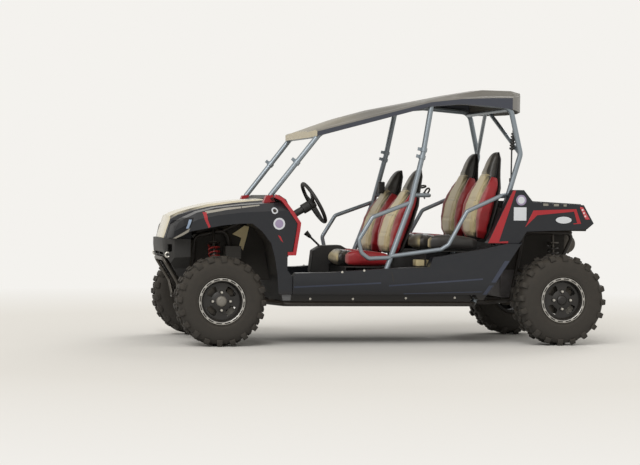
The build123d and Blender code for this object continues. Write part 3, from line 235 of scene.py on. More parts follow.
# sizes are millimetres
finishes = {
    # gloss moulded thermoplastic: deep blue-black with slight orange peel and a film of sand, darker near the
    # ground from splash and painted shade
    "glossPanel": {
        "colour": "16191f", "mottle": "1c2027", "mottleSize": 300, "roughness": 0.33, "roughSpread": 0.3,
        "coat": 0.1, "coatRoughness": 0.2, "specular": 0.38, "grainSize": 6, "grainHeight": 0.25,
        "grainStrength": 0.12, "dust": 0.2, "dustColour": "5d5347", "ior": 1.45,
        "lowColour": "1b1713", "lowFrom": 340, "lowTo": 430,
    },
    # the hood's top and nose are pale, lacquer and a painted reflection of the low sun together; its sideways
    # faces stay dark as painted shade
    "paleHood": {
        "colour": "d8cfb4", "mottle": "cfc5a8", "mottleSize": 260, "roughness": 0.25, "roughSpread": 0.25,
        "coat": 0.5, "coatRoughness": 0.08, "grainSize": 6, "grainHeight": 0.2, "grainStrength": 0.1,
        "dust": 0.2, "dustColour": "a8926c", "sideColour": "262a33", "sideStart": 0.62,
    },
    # moulded-in satin red trim
    "redTrim": {
        "colour": "a81522", "mottle": "98121e", "mottleSize": 180, "roughness": 0.4, "coat": 0.1,
        "grainSize": 4, "grainHeight": 0.2, "grainStrength": 0.12, "dust": 0.1, "dustColour": "8f5a48",
    },
    # powder-coated silver tube: a dull metal flake under a fine pebbled film
    "silverTube": {
        "colour": "8f989f", "mottle": "7f8a93", "mottleSize": 120, "roughness": 0.36, "metallic": 0.55,
        "grainSize": 2.5, "grainHeight": 0.15, "grainStrength": 0.15, "dust": 0.25, "dustColour": "8a7c68",
    },
    # grained black polypropylene
    "grainedBlack": {
        "colour": "171718", "mottle": "1f1f1e", "mottleSize": 90, "roughness": 0.58, "grainKind": "cells",
        "grainSize": 2.2, "grainHeight": 0.3, "grainStrength": 0.35, "dust": 0.22, "dustColour": "5a4e3f",
    },
    # grey moulded plastic of the inner panels, dull and dusty
    "innerGrey": {
        "colour": "4a4845", "mottle": "3c3a37", "mottleSize": 80, "roughness": 0.6, "grainKind": "cells",
        "grainSize": 2.4, "grainHeight": 0.3, "grainStrength": 0.3, "dust": 0.35, "dustColour": "6f604d",
    },
    # frame tube in satin black powder coat
    "frameBlack": {
        "colour": "1d1c1b", "mottle": "262422", "mottleSize": 70, "roughness": 0.45, "metallic": 0.1,
        "grainSize": 2.5, "grainHeight": 0.15, "grainStrength": 0.2, "dust": 0.55, "dustColour": "5f513f",
    },
    # roof: satin rotomoulded sheet in slate with a little sand on top; a pale painted highlight on its
    # forward faces and a painted blue shade on its sideways faces
    "roofSheet": {
        "colour": "716e67", "mottle": "64625d", "mottleSize": 220, "roughness": 0.42, "roughSpread": 0.3,
        "grainSize": 12, "grainHeight": 0.15, "grainStrength": 0.06, "dust": 0.2, "dustColour": "8a7d6b",
        "frontSheen": 0.9, "frontColour": "cfc4a8", "frontStart": 0.2, "frontEnd": 0.6, "frontSize": 400,
        "frontLow": 0.9, "frontFrom": 100, "sideColour": "323744", "sideStart": 0.75,
    },
    # worn tyre rubber, brown with dust in its pores
    "tyreRubber": {
        "colour": "211f1c", "mottle": "2a2723", "mottleSize": 45, "roughness": 0.78, "grainSize": 3,
        "grainHeight": 0.4, "grainStrength": 0.3, "dust": 0.38, "dustSize": 35, "dustColour": "655846",
    },
    # cast wheel in satin black paint
    "wheelBlack": {
        "colour": "161617", "mottle": "1e1d1c", "mottleSize": 40, "roughness": 0.4, "metallic": 0.1,
        "grainSize": 3, "grainHeight": 0.2, "grainStrength": 0.2, "dust": 0.28, "dustColour": "5f5343",
    },
    # black moulded liner, caked with dry sand
    "linerBlack": {
        "colour": "201d19", "mottle": "2a2620", "mottleSize": 80, "roughness": 0.7, "grainKind": "cells",
        "grainSize": 2.4, "grainHeight": 0.3, "grainStrength": 0.3, "dust": 0.2, "dustColour": "4f4434",
    },
    # painted sunlight: a pale cream for inner panels where the low sun falls on them
    "innerPale": {
        "colour": "ead9a9", "mottle": "dccb9b", "mottleSize": 50, "roughness": 0.5, "dust": 0.15,
        "dustColour": "a8926c",
    },
    # bright zinc of the wheel nuts and bolt heads
    "nutZinc": {
        "colour": "d6d3cb", "mottle": "c2bfb6", "mottleSize": 12, "roughness": 0.3, "metallic": 0.5,
        "dust": 0.1, "dustColour": "a8926c",
    },
    # grey of the front caps, moulded plastic, and of the calipers, dull cast alloy
    "capGrey": {
        "colour": "7d7a73", "mottle": "6c6962", "mottleSize": 12, "roughness": 0.45, "dust": 0.2,
        "dustColour": "8d7a62",
    },
    # painted sky reflections: strips along the pressed creases, where the gloss panel turns up to the sky
    "creaseBlue": {
        "colour": "2b3346", "mottle": "262d3e", "mottleSize": 200, "roughness": 0.35, "coat": 0.1,
        "dust": 0.1, "dustColour": "5d5347",
    },
    # a pale painted highlight where the fender's top edge catches the sky
    "creasePale": {
        "colour": "a7a298", "mottle": "979388", "mottleSize": 120, "roughness": 0.35, "dust": 0.1,
        "dustColour": "8d7a62",
    },
    # machined aluminium face of the bead ring
    "ringSilver": {
        "colour": "b9b7b2", "mottle": "a5a39e", "mottleSize": 20, "roughness": 0.36, "metallic": 0.8,
        "grainSize": 1.5, "grainHeight": 0.08, "grainStrength": 0.15, "dust": 0.25, "dustColour": "8d7a62",
    },
    # bare and zinc-plated steel: dampers, shafts, exhaust
    "platedSteel": {
        "colour": "5f5c57", "mottle": "4a4743", "mottleSize": 30, "roughness": 0.42, "metallic": 0.8,
        "grainSize": 1.5, "grainHeight": 0.1, "grainStrength": 0.2, "dust": 0.4, "dustColour": "5c4f3d",
    },
    # sand-cast iron and aluminium cases
    "castMetal": {
        "colour": "3a3936", "mottle": "4a4742", "mottleSize": 25, "roughness": 0.65, "metallic": 0.6,
        "grainKind": "cells", "grainSize": 3, "grainHeight": 0.5, "grainStrength": 0.5, "dust": 0.5,
    },
    "engineMetal": {
        "colour": "77767a", "mottle": "5f5e60", "mottleSize": 40, "roughness": 0.55, "metallic": 0.7,
        "grainKind": "cells", "grainSize": 4, "grainHeight": 0.5, "grainStrength": 0.5, "dust": 0.5,
    },
    # enamelled spring wire
    "springRed": {
        "colour": "a51d1d", "mottle": "8f1919", "mottleSize": 30, "roughness": 0.35, "coat": 0.3,
        "dust": 0.3, "dustColour": "7a5a45",
    },
    "springBlack": {
        "colour": "1c1c1d", "mottle": "2a2928", "mottleSize": 30, "roughness": 0.38, "coat": 0.2,
        "dust": 0.4, "dustColour": "6b5d4b",
    },
    # upholstery vinyl: embossed grain with a soft broad shine, and a pale painted sheen, standing for the low
    # sun's reflection, on the faces that look forwards
    "blackVinyl": {
        "colour": "1c1b1b", "mottle": "262423", "mottleSize": 120, "roughness": 0.4, **vinylGrain,
        "sheen": 0.15,
        "dust": 0.2, "dustColour": "7d725e", "frontSheen": 0.95, "frontColour": "e2cf9e", "frontStart": 0.45,
        "frontEnd": 0.9, "frontSize": 120, "frontLow": 0.88,
    },
    # the seats' heads: the same vinyl with a fainter painted sheen on it
    "headVinyl": {
        "colour": "23221f", "mottle": "2d2b28", "mottleSize": 120, "roughness": 0.42, **vinylGrain,
        "sheen": 0.15,
        "dust": 0.2, "dustColour": "7d725e", "frontSheen": 0.75, "frontColour": "b5a888", "frontStart": 0.82,
        "frontEnd": 1.0, "frontSize": 110,
    },
    # red bolster vinyl, with a pink painted sheen on the faces that look forwards
    "redVinyl": {
        "colour": "96101a", "mottle": "840e16", "mottleSize": 120, "roughness": 0.45, **vinylGrain,
        "sheen": 0.05,
        "dust": 0.1, "dustColour": "8f5545", "frontSheen": 0.6, "frontColour": "c39a94", "frontStart": 0.35,
        "frontEnd": 0.95, "frontLow": 0.8,
    },
    # lamp lenses: dusty polycarbonate over a dark body, and clear-coated over a red one; the pale one is a
    # painted highlight on the tail lamps
    "darkLens": {
        "colour": "0d0f13", "mottle": "14171c", "mottleSize": 60, "roughness": 0.5, "roughSpread": 0.15,
        "ior": 1.5, "specular": 0.15, "dust": 0.04,
    },
    "redLens": {
        "colour": "c4182c", "mottle": "a81224", "mottleSize": 30, "roughness": 0.15, "roughSpread": 0.1,
        "coat": 1.0, "coatRoughness": 0.04, "ior": 1.58, "dust": 0.08,
    },
    "paleLens": {
        "colour": "e8c9c6", "mottle": "dab4b4", "mottleSize": 10, "roughness": 0.2, "coat": 1.0,
        "coatRoughness": 0.05, "ior": 1.58,
    },
    # metallised strip behind the lens, its blue a painted reflection of the sky
    "reflector": {
        "colour": "9fb0c6", "mottle": "7c8da4", "mottleSize": 30, "roughness": 0.22, "metallic": 0.7,
    },
    # grey rubber and satin plastic edging
    "sillGrey": {
        "colour": "8b877d", "mottle": "7d796f", "mottleSize": 60, "roughness": 0.45, "dust": 0.2,
        "dustColour": "8d7a62",
    },
    # printed vinyl film, left blank
    "whiteFilm": {
        "colour": "d5d8dc", "mottle": "c8cbd0", "mottleSize": 60, "roughness": 0.45, "dust": 0.15,
    },
    "lilacFilm": {
        "colour": "8c7f9e", "mottle": "a295b0", "mottleSize": 25, "roughness": 0.45, "dust": 0.15,
    },
    # near-black: painted shade at the bottom of the ring's slots, and the dark of a joint and of a badge's
    # core
    "darkSlot": {
        "colour": "0f0f10", "mottle": "171615", "mottleSize": 20, "roughness": 0.7, "dust": 0.2,
    },
    # woven belt and its coated buckles
    "blackWeb": {
        "colour": "171717", "mottle": "222120", "mottleSize": 12, "roughness": 0.8, "grainKind": "cells",
        "grainSize": 1.6, "grainHeight": 0.4, "grainStrength": 0.5, "sheen": 0.3, "dust": 0.25,
    },
}
made = {name: makeFinish(name, spec) for name, spec in finishes.items()}

nodeFinish = {
    "glossPanel": ["front_fenders", "rocker_panels", "rear_quarters"],
    "paleHood": ["hood"],
    "redTrim": ["front_trim", "pillar_brackets", "rear_accents"],
    "silverTube": [
        "cage_sides", "cage_front_bar", "cage_middle_hoop", "cage_rear_bars", "side_bars", "cage_collars",
    ],
    "grainedBlack": [
        "floor_tub", "dashboard", "steering_column", "gear_lever", "cargo_bed", "flag_mount",
        "steering_wheel", "front_bumper",
    ],
    "linerBlack": ["wheel_liners"],
    "innerGrey": ["centre_console", "reservoir_box"],
    "frameBlack": ["frame_rails", "chassis_frame", "frame_towers", "front_arms", "rear_arms"],
    "roofSheet": ["roof_panel"],
    "platedSteel": ["front_guard", "front_dampers", "rear_dampers", "silencer", "drive_shafts", "rack_bar"],
    "castMetal": [
        "front_gearcase", "rear_gearcase", "knuckle_left", "knuckle_right", "rear_carriers", "rack_housing",
    ],
    "engineMetal": ["engine_block"],
    "darkLens": ["headlamps"],
    "redLens": ["tail_lamps"],
}
for finish, names in nodeFinish.items():
    for name in names:
        nodes[name].data.materials.clear()
        nodes[name].data.materials.append(made[finish])
print("finishes:", len(made))


# floor, world and lamps

studio = {
    "floorReach": 60.0,  # metres
    "floorColour": "e6e3dd",
    "fadeStart": 4.0,  # beyond here the floor turns to the backdrop's white
    "fadeEnd": 9.0,
    "worldLight": 0.62,
    "keyPower": 1.5,
    "keyTurn": (52, 0, 152),
    "keySize": 35,
    "rimPower": 0.9,
    "rimTurn": (62, 0, -35),
    "rimSize": 30,
}


def addStudio(spec):
    bm = bmesh.new()
    bmesh.ops.create_circle(bm, cap_ends=True, segments=64, radius=spec["floorReach"])
    data = bpy.data.meshes.new("floor")
    bm.to_mesh(data)
    bm.free()
    floor = bpy.data.objects.new("floor", data)
    bpy.context.scene.collection.objects.link(floor)
    material = bpy.data.materials.new("floorPaper")
    material.use_nodes = True
    material.node_tree.nodes.clear()
    place = addNode(material, "TexCoord").outputs["Object"]
    far = addNode(material, "VectorMath", {"operation": "LENGTH"}, {0: place})
    fade = addNode(
        material, "MapRange", {"From Min": spec["fadeStart"], "From Max": spec["fadeEnd"]},
        {"Value": far.outputs["Value"]},
    )
    paper = addNode(material, "BsdfDiffuse", {"Color": hexColour(spec["floorColour"])})
    white = addNode(material, "Emission", {"Color": hexColour("f4f2ee"), "Strength": 1.0})
    paths = addNode(material, "LightPath")
    seen = addNode(
        material, "Math", {"operation": "MULTIPLY"},
        {0: fade.outputs[0], 1: paths.outputs["Is Camera Ray"]},
    )
    mixed = addNode(
        material, "MixShader", {}, {0: seen.outputs[0], 1: paper.outputs[0], 2: white.outputs[0]},
    )
    addNode(material, "OutputMaterial", {}, {"Surface": mixed.outputs[0]})
    data.materials.append(material)

    world = bpy.data.worlds.new("studio")
    world.use_nodes = True
    bpy.context.scene.world = world
    world.node_tree.nodes.clear()
    paths = addNode(world, "LightPath")
    seen = addNode(
        world, "Math", {"operation": "MAXIMUM"},
        {0: paths.outputs["Is Camera Ray"], 1: paths.outputs["Is Glossy Ray"]},
    )
    seen = addNode(
        world, "Math", {"operation": "MAXIMUM"},
        {0: seen.outputs[0], 1: paths.outputs["Is Transmission Ray"]},
    )
    soft = addNode(
        world, "Background", {"Color": hexColour("f6f4f0"), "Strength": spec["worldLight"]},
    )
    backdrop = addNode(world, "Background", {"Color": hexColour("f4f2ee"), "Strength": 1.0})
    mixed = addNode(
        world, "MixShader", {}, {0: seen.outputs[0], 1: soft.outputs[0], 2: backdrop.outputs[0]},
    )
    addNode(world, "OutputWorld", {}, {"Surface": mixed.outputs[0]})

    for name in ("key", "rim"):
        lamp = bpy.data.lights.new(name, "SUN")
        lamp.energy = spec[name + "Power"]
        lamp.angle = radians(spec[name + "Size"])
        holder = bpy.data.objects.new(name, lamp)
        holder.rotation_euler = [radians(turn) for turn in spec[name + "Turn"]]
        bpy.context.scene.collection.objects.link(holder)


addStudio(studio)
print("studio lit")


# helpers that turn a bmesh into a piece

def makePiece(name, bm, body, finish, smoothAngle=40):
    bmesh.ops.remove_doubles(bm, verts=bm.verts, dist=0.00002)
    bmesh.ops.recalc_face_normals(bm, faces=bm.faces)
    data = bpy.data.meshes.new(name)
    for face in bm.faces:
        face.smooth = True
    for edge in bm.edges:
        edge.smooth = len(edge.link_faces) == 2 and edge.calc_face_angle(0) < radians(smoothAngle)
    bm.to_mesh(data)
    bm.free()
    piece = bpy.data.objects.new(name, data)
    bpy.context.scene.collection.objects.link(piece)
    for title in ([finish] if isinstance(finish, str) else finish):
        data.materials.append(made[title])
    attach(piece, body)
    return piece


def ringProfile(bm, points, closed=True):
    # a loop of vertices in the X-Y plane, X being the radius
    verts = [bm.verts.new((x * mm, y * mm, 0)) for x, y in points]
    pairs = list(zip(verts, verts[1:])) + ([(verts[-1], verts[0])] if closed else [])
    edges = [bm.edges.new(pair) for pair in pairs]
    return verts + edges


def spinRound(bm, geometry, steps):
    bmesh.ops.spin(
        bm, geom=geometry, cent=(0, 0, 0), axis=(0, 1, 0), angle=2 * pi, steps=steps, use_merge=True,
    )


def extrudeBy(bm, faces, offset):
    # the faces are drawn out by a vector in metres, and the vertices that moved are returned
    grown = bmesh.ops.extrude_face_region(bm, geom=faces)["geom"]
    moved = [item for item in grown if isinstance(item, bmesh.types.BMVert)]
    bmesh.ops.translate(bm, verts=moved, vec=offset)
    return moved


def block(bm, points, depth):
    # a prism: an outline of (radius, y) in millimetres, depth thick about its plane
    verts = [bm.verts.new((x * mm, y * mm, -depth / 2 * mm)) for x, y in points]
    return verts + extrudeBy(bm, [bm.faces.new(verts)], (0, 0, depth * mm))


def addCone(bm, centre, wide, narrow, depth, sides):
    # its axis looks out along Y, and its sizes are millimetres
    bmesh.ops.create_cone(
        bm, cap_ends=True, segments=sides, radius1=wide * mm, radius2=narrow * mm, depth=depth * mm,
        matrix=Matrix.Translation([value * mm for value in centre]) @ Matrix.Rotation(-pi / 2, 4, "X"),
    )


def joinInto(bm, part):
    data = bpy.data.meshes.new("part")
    part.to_mesh(data)
    part.free()
    bm.from_mesh(data)
    bpy.data.meshes.remove(data)


def bevelEdges(bm, verts, width, segments=2):
    chosen = set(verts)
    edges = [edge for edge in bm.edges if edge.verts[0] in chosen and edge.verts[1] in chosen]
    bmesh.ops.bevel(
        bm, geom=edges, offset=width * mm, segments=segments, profile=0.5, affect="EDGES", material=-1,
        clamp_overlap=True,
    )


def moveAll(bm, matrix):
    bmesh.ops.transform(bm, verts=bm.verts, matrix=matrix)


# wheels: a lugged tyre, a rim with four windows, its bolted ring, nuts and cap, and the brake behind it

wheels = {
    "fl": {"radius": 333, "width": 229, "centre": (1289.5, 333), "side": 1, "body": "wheel_fl"},
    "fr": {"radius": 333, "width": 229, "centre": (1289.5, 333), "side": -1, "body": "wheel_fr"},
    "rl": {"radius": 345, "width": 279, "centre": (-1326.5, 345), "side": 1, "body": "wheel_rl"},
    "rr": {"radius": 345, "width": 279, "centre": (-1326.5, 345), "side": -1, "body": "wheel_rr"},
}
halfTrack = 768.5
tyre = {
    "lugs": 20, "lugHeight": 17, "lugThick": 44, "lugTaper": 0.84, "lugSkew": 7, "edge": 2.5, "steps": 100,
    "longLug": (70, 36), "shortLug": (52, 26),  # how far a lug runs in over the tread and down the flank
    "midPlace": 22, "midLength": 56, "midThick": 30, "midTwist": 24,
}
rim = {
    "radius": 152, "dishDepth": 40, "dishThick": 7, "steps": 96, "windowIn": 76, "windowOut": 121,
    "corner": 11, "nuts": 4, "nutCircle": 66, "slots": 16, "slotDepth": 4, "boltCircle": 162.2,
    "discRadius": 112, "discInset": 110, "caliperTurn": 135,
}


def wheelPlace(spec):
    x, z = spec["centre"]
    middle = spec["side"] * (halfTrack - spec["width"] / 2)
    mirror = Matrix.Diagonal((1, spec["side"], 1, 1))
    return Matrix.Translation((x * mm, middle * mm, z * mm)) @ mirror


def buildTyre(spec, kind):
    half = spec["width"] / 2
    radius = spec["radius"]
    floor = radius - kind["lugHeight"]
    bm = bmesh.new()
    outer = [
        (153.6, half - 14), (173, half - 13), (175, half - 7), (180, half - 3), (186, half - 4),
        (190, half - 1.5), (205, half - 0.3), (222, half), (246, half - 0.5),
        (floor - 44, half - 4), (floor - 26, half - 12),
        (floor - 12, half - 22), (floor - 3, half - 36), (floor, half - 56), (floor + 1, half - 84),
    ]
    profile = outer + [(x, -y) for x, y in reversed(outer)]
    spinRound(bm, ringProfile(bm, profile), kind["steps"])
    for index in range(kind["lugs"]):
        for side in (1, -1):
            angle = 2 * pi / kind["lugs"] * index + pi / 2 + (0 if side > 0 else pi / kind["lugs"])
            around = Matrix.Rotation(angle, 4, "Y")
            reach, drop = kind["longLug"] if (index % 2 == 0) == (side > 0) else kind["shortLug"]
            outline = [
                (floor - drop, half - 6), (floor - drop + 5, half - 1.5), (floor - 8, half - 3),
                (radius - 6, half - 9), (radius - 0.4, half - 18), (radius - 0.4, half - reach),
                (floor - 6, half - reach - 4), (floor - 20, half - 40),
            ]
            verts = block(bm, [(x, y * side) for x, y in outline], kind["lugThick"])
            high = [vert for vert in verts if vert.co.x > (floor + 4) * mm]
            bmesh.ops.scale(bm, verts=high, vec=(1, 1, kind["lugTaper"]))
            skew = Matrix.Rotation(radians(kind["lugSkew"] * side), 4, "X")
            bmesh.ops.transform(bm, verts=verts, matrix=around @ skew)
            bevelEdges(bm, verts, kind["edge"], 1)
            middle, length = kind["midPlace"] * side, kind["midLength"] / 2
            outline = [
                (floor - 6, middle - length), (radius - 3, middle - length + 3),
                (radius - 3, middle + length - 3), (floor - 6, middle + length),
            ]
            verts = block(bm, outline, kind["midThick"])
            between = Matrix.Rotation(pi / kind["lugs"], 4, "Y")
            twist = Matrix.Rotation(radians(kind["midTwist"] * side), 4, "X")
            bmesh.ops.transform(bm, verts=verts, matrix=around @ between @ twist)
            bevelEdges(bm, verts, kind["edge"], 1)
    moveAll(bm, wheelPlace(spec))
    return bm


def nutPlaces(kind):
    angles = [2 * pi / kind["nuts"] * index for index in range(kind["nuts"])]
    return [(kind["nutCircle"] * cos(angle), kind["nutCircle"] * sin(angle)) for angle in angles]


def buildRim(spec, kind):
    half = spec["width"] / 2
    bm = bmesh.new()
    inner = kind["radius"] - 7
    dish = half - kind["dishDepth"]
    barrel = [
        (152, 16 - half), (158, 15 - half), (163.8, 12 - half), (163.8, 5 - half), (160, 4 - half),
        (148, 4 - half), (146, 8 - half), (inner, 20 - half), (inner, dish - 2), (136, dish + 3),
        (139, dish + 12),
        (143, half - 12), (147, half - 4), (150, half - 3), (153, half - 9), (152, half - 15), (152, 0),
    ]
    spinRound(bm, ringProfile(bm, barrel), 64)
    # the dish: a polar sheet with four windows taken out
    dishBm = bmesh.new()
    line = [(34, dish + 4), (58, dish + 1), (76, dish - 5), (121, dish - 1), (146, dish - 1)]
    spinRound(dishBm, ringProfile(dishBm, line, closed=False), 32)
    holes = []
    for face in dishBm.faces:
        centre = face.calc_center_median() / mm
        reach = hypot(centre.x, centre.z)
        angle = atan2(centre.z, centre.x)
        share = (angle / (pi / 2)) % 1
        if kind["windowIn"] < reach < kind["windowOut"] and 0.25 < share < 0.75:
            holes.append(face)
    bmesh.ops.delete(dishBm, geom=holes, context="FACES")
    corners = []
    for vert in dishBm.verts:
        reach = hypot(vert.co.x, vert.co.z) / mm
        onWindow = vert.is_boundary and kind["windowIn"] - 4 < reach < kind["windowOut"] + 4
        rims = sum(1 for edge in vert.link_edges if edge.is_boundary)
        if onWindow and rims == 2 and len(vert.link_faces) == 3:
            corners.append(vert)
    bmesh.ops.bevel(
        dishBm, geom=corners, offset=kind["corner"] * mm, segments=4, profile=0.5, affect="VERTICES",
        material=-1,
    )
    bmesh.ops.recalc_face_normals(dishBm, faces=dishBm.faces)
    everything = dishBm.faces[:] + dishBm.edges[:] + dishBm.verts[:]
    bmesh.ops.solidify(dishBm, geom=everything, thickness=kind["dishThick"] * mm)
    joinInto(bm, dishBm)
    for x, z in nutPlaces(kind):  # the nuts' raised seats
        addCone(bm, (x, dish + 1, z), 15, 13, 10, 24)
    # hub behind the dish
    hub = [(24, dish - 66), (46, dish - 66), (46, dish - 12), (34, dish + 2), (24, dish + 2)]
    spinRound(bm, ringProfile(bm, hub), 32)
    moveAll(bm, wheelPlace(spec))
    return bm


def buildRing(spec, kind):
    # the bolted ring: sixteen slots between pairs of bolts, their bottoms painted near-black as shade
    half = spec["width"] / 2
    bm = bmesh.new()
    section = [
        (153, half - 9), (153, half - 2), (154.5, half - 0.8), (158, half - 0.2), (166.5, half - 0.2),
        (170.5, half - 0.8), (172, half - 2.5), (172, half - 9),
    ]
    spinRound(bm, ringProfile(bm, section), kind["steps"])
    per = kind["steps"] // kind["slots"]
    slots = []
    for face in bm.faces:
        centre = face.calc_center_median() / mm
        reach = hypot(centre.x, centre.z)
        angle = atan2(centre.z, centre.x)
        index = int((angle % (2 * pi)) / (2 * pi / kind["steps"]))
        if 158 < reach < 166.5 and centre.y > half - 1 and index % per < per - 2:
            slots.append(face)
    extrudeBy(bm, slots, (0, -kind["slotDepth"] * mm, 0))
    bmesh.ops.delete(bm, geom=slots, context="FACES_ONLY")
    for face in bm.faces:  # the slots' bottoms, painted near-black as shade
        if all(half - 4.5 < vert.co.y / mm < half - 3.9 for vert in face.verts):
            face.material_index = 1
    for index in range(kind["slots"]):
        for step in (-0.5, 0.5):
            angle = 2 * pi / kind["steps"] * (index * per + per - 1 + step)
            x, z = kind["boltCircle"] * cos(angle), kind["boltCircle"] * sin(angle)
            addCone(bm, (x, half - 1.0, z), 3.2, 2.8, 2, 6)
    moveAll(bm, wheelPlace(spec))
    return bm


def buildNuts(spec, kind):
    dish = spec["width"] / 2 - kind["dishDepth"]
    bm = bmesh.new()
    for x, z in nutPlaces(kind):
        for low, high, wide, narrow, sides in ((4, 20, 10.5, 9.5, 6), (19, 24, 8, 5, 16)):
            addCone(bm, (x, dish + (low + high) / 2, z), wide, narrow, high - low, sides)
    moveAll(bm, wheelPlace(spec))
    return bm


def buildCaliper(spec, kind):
    # a finned block that straddles the disc at the lower rear, behind a window of the wheel
    y = spec["width"] / 2 - kind["discInset"]
    bm = bmesh.new()
    for wide, low, high, deep in ((34, 86, 126, 24), (28, 90, 130, 18), (10, 84, 132, 27)):
        block(bm, [(low, y - deep), (high, y - deep), (high, y + deep), (low, y + deep)], wide * 2)
    moveAll(bm, wheelPlace(spec) @ Matrix.Rotation(radians(kind["caliperTurn"]), 4, "Y"))
    return bm


def buildDisc(spec, kind):
    y = spec["width"] / 2 - kind["discInset"]
    bm = bmesh.new()
    # the disc and its carrier
    for inner, outer, half, steps in ((66, kind["discRadius"], 4, 64), (26, 70, 3, 32)):
        line = [(inner, y - half), (outer, y - half), (outer, y + half), (inner, y + half)]
        spinRound(bm, ringProfile(bm, line), steps)
    moveAll(bm, wheelPlace(spec))
    return bm


def buildCap(spec, kind):
    dish = spec["width"] / 2 - kind["dishDepth"]
    dome = [(0.5, 17), (10, 16.6), (24, 15), (34, 11), (39, 4), (40, -6), (0.5, -6)]
    rib = [(17, 14), (17, 16.8), (21, 16.5), (21, 14)]
    bm = bmesh.new()
    for line in (dome, rib):
        spinRound(bm, ringProfile(bm, [(x, dish + y) for x, y in line]), 40)
    moveAll(bm, wheelPlace(spec))
    return bm


for name, spec in wheels.items():
    bm = buildTyre(spec, tyre)
    piece = makePiece("tyre_" + name + "_rubber", bm, spec["body"], "tyreRubber", 35)
    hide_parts("tyre_" + name)
    piece = makePiece("rim_" + name + "_wheel", buildRim(spec, rim), spec["body"], "wheelBlack")
    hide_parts("rim_" + name)
    bm = buildRing(spec, rim)
    makePiece("rim_" + name + "_ring", bm, spec["body"], ["ringSilver", "darkSlot"])
    makePiece("rim_" + name + "_disc", buildDisc(spec, rim), spec["body"], "platedSteel")
    makePiece("rim_" + name + "_nuts", buildNuts(spec, rim), spec["body"], "nutZinc")
    holder = {"fl": "knuckle_l", "fr": "knuckle_r"}.get(name, "chassis")
    makePiece("caliper_" + name, buildCaliper(spec, rim), holder, "capGrey")
    finish = "capGrey" if name[0] == "f" else "wheelBlack"
    makePiece("rim_" + name + "_cap", buildCap(spec, rim), spec["body"], finish)
print("wheels built")


# coil springs

springs = {
    "front": {
        "foot": (1289.5, 440, 468), "head": (1289.5, 302, 846), "low": 0.1, "high": 0.72, "turns": 7,
        "coil": 39.5, "wire": 6.2, "finish": "springRed", "slot": "spring_red", "node": "front_springs",
    },
    "rear": {
        "foot": (-1376.5, 420, 316), "head": (-1376.5, 342, 836), "low": 0.27, "high": 0.85, "turns": 8,
        "coil": 39.5, "wire": 6.2, "finish": "springBlack", "slot": "spring_black", "node": "rear_springs",
    },
}


def buildSpring(spec, side):
    foot, head = (Vector((x, y * side, z)) * mm for x, y, z in (spec["foot"], spec["head"]))
    start, stop = foot.lerp(head, spec["low"]), foot.lerp(head, spec["high"])
    length = (stop - start).length
    bm = bmesh.new()
    turned = Matrix.Translation((spec["coil"] * mm, 0, spec["wire"] * mm)) @ Matrix.Rotation(pi / 2, 4, "X")
    bmesh.ops.create_circle(bm, segments=8, radius=spec["wire"] * mm, matrix=turned)
    steps = spec["turns"] * 24
    rise = (length - 2 * spec["wire"] * mm) / steps
    bmesh.ops.spin(
        bm, geom=bm.verts[:] + bm.edges[:], cent=(0, 0, 0), axis=(0, 0, 1), dvec=(0, 0, rise),
        angle=2 * pi * spec["turns"], steps=steps,
    )
    bmesh.ops.holes_fill(bm, edges=[edge for edge in bm.edges if edge.is_boundary], sides=8)
    turn = Vector((0, 0, 1)).rotation_difference(stop - start).to_matrix().to_4x4()
    moveAll(bm, Matrix.Translation(start) @ turn)
    return bm


for end, spec in springs.items():
    for side, word in ((1, "left"), (-1, "right")):
        bm = buildSpring(spec, side)
        piece = makePiece("spring_" + end + "_" + word, bm, "chassis", spec["finish"], 60)
        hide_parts(spec["node"])
print("springs wound")


# seats: each is shaped upright at the origin, puffed once, then copied to its four places

seats = {
    "front": {
        "foot": (-15.5, 690), "lean": 20, "cushionFront": 381.5, "cushionTop": 715, "cushionRear": -45.5,
    },
    "rear": {
        "foot": (-701.5, 806), "lean": 14, "cushionFront": -253.5, "cushionTop": 838, "cushionRear": -731.5,
    },
}
seatSide = 300
headFrom = 508  # the head is dark above this height
padding = {
    "voxel": 6, "pressure": 4.0, "frames": 20, "cap": 9, "shrink": 5,
    "corner": 0.55,  # how square a section is, 1 for an ellipse
}
# sections are (height, half width, rear depth, front depth), millimetres
backCentre = [
    (6, 120, -78, -12), (40, 160, -82, 16), (120, 184, -84, 36), (260, 196, -84, 41), (360, 186, -84, 27),
    (430, 160, -84, 12), (500, 120, -84, 2), (560, 98, -84, -6), (620, 88, -80, -14), (670, 72, -74, -26),
    (695, 56, -68, -38), (708, 38, -62, -46),
]
# bolster sections are (height, inner y, outer y, rear depth, front depth)
backBolster = [
    (14, 128, 166, -86, -16), (60, 158, 210, -90, 16), (150, 172, 228, -92, 44), (260, 180, 231, -92, 54),
    (340, 172, 225, -92, 42), (410, 152, 208, -90, 20), (455, 128, 180, -86, 0), (492, 108, 142, -80, -22),
]
# cushion sections run from the rear to the front: (x share, half width, low, high)
cushionCentre = [
    (0.02, 118, -118, -34), (0.1, 126, -122, -28), (0.35, 130, -122, -30), (0.62, 134, -122, -22),
    (0.8, 150, -122, -8), (0.9, 176, -120, -4), (0.965, 172, -108, -20), (0.995, 150, -90, -46),
]
cushionBolster = [
    (0.02, 132, 206, -116, -42), (0.1, 132, 226, -124, -26), (0.3, 134, 230, -126, -12),
    (0.5, 136, 230, -126, -4), (0.68, 140, 229, -126, -6), (0.78, 152, 224, -122, -18),
    (0.83, 168, 210, -108, -36),
]
# sewn seams: (axis, place, from, to, depth); y seams run up the back, z seams run across it
backSeams = [
    ("y", 104, 30, 500, 5), ("z", headFrom, -1, 130, 4), ("z", 140, -1, 104, 4), ("z", 300, -1, 104, 4),
]
seamReach = 14  # mm to either side
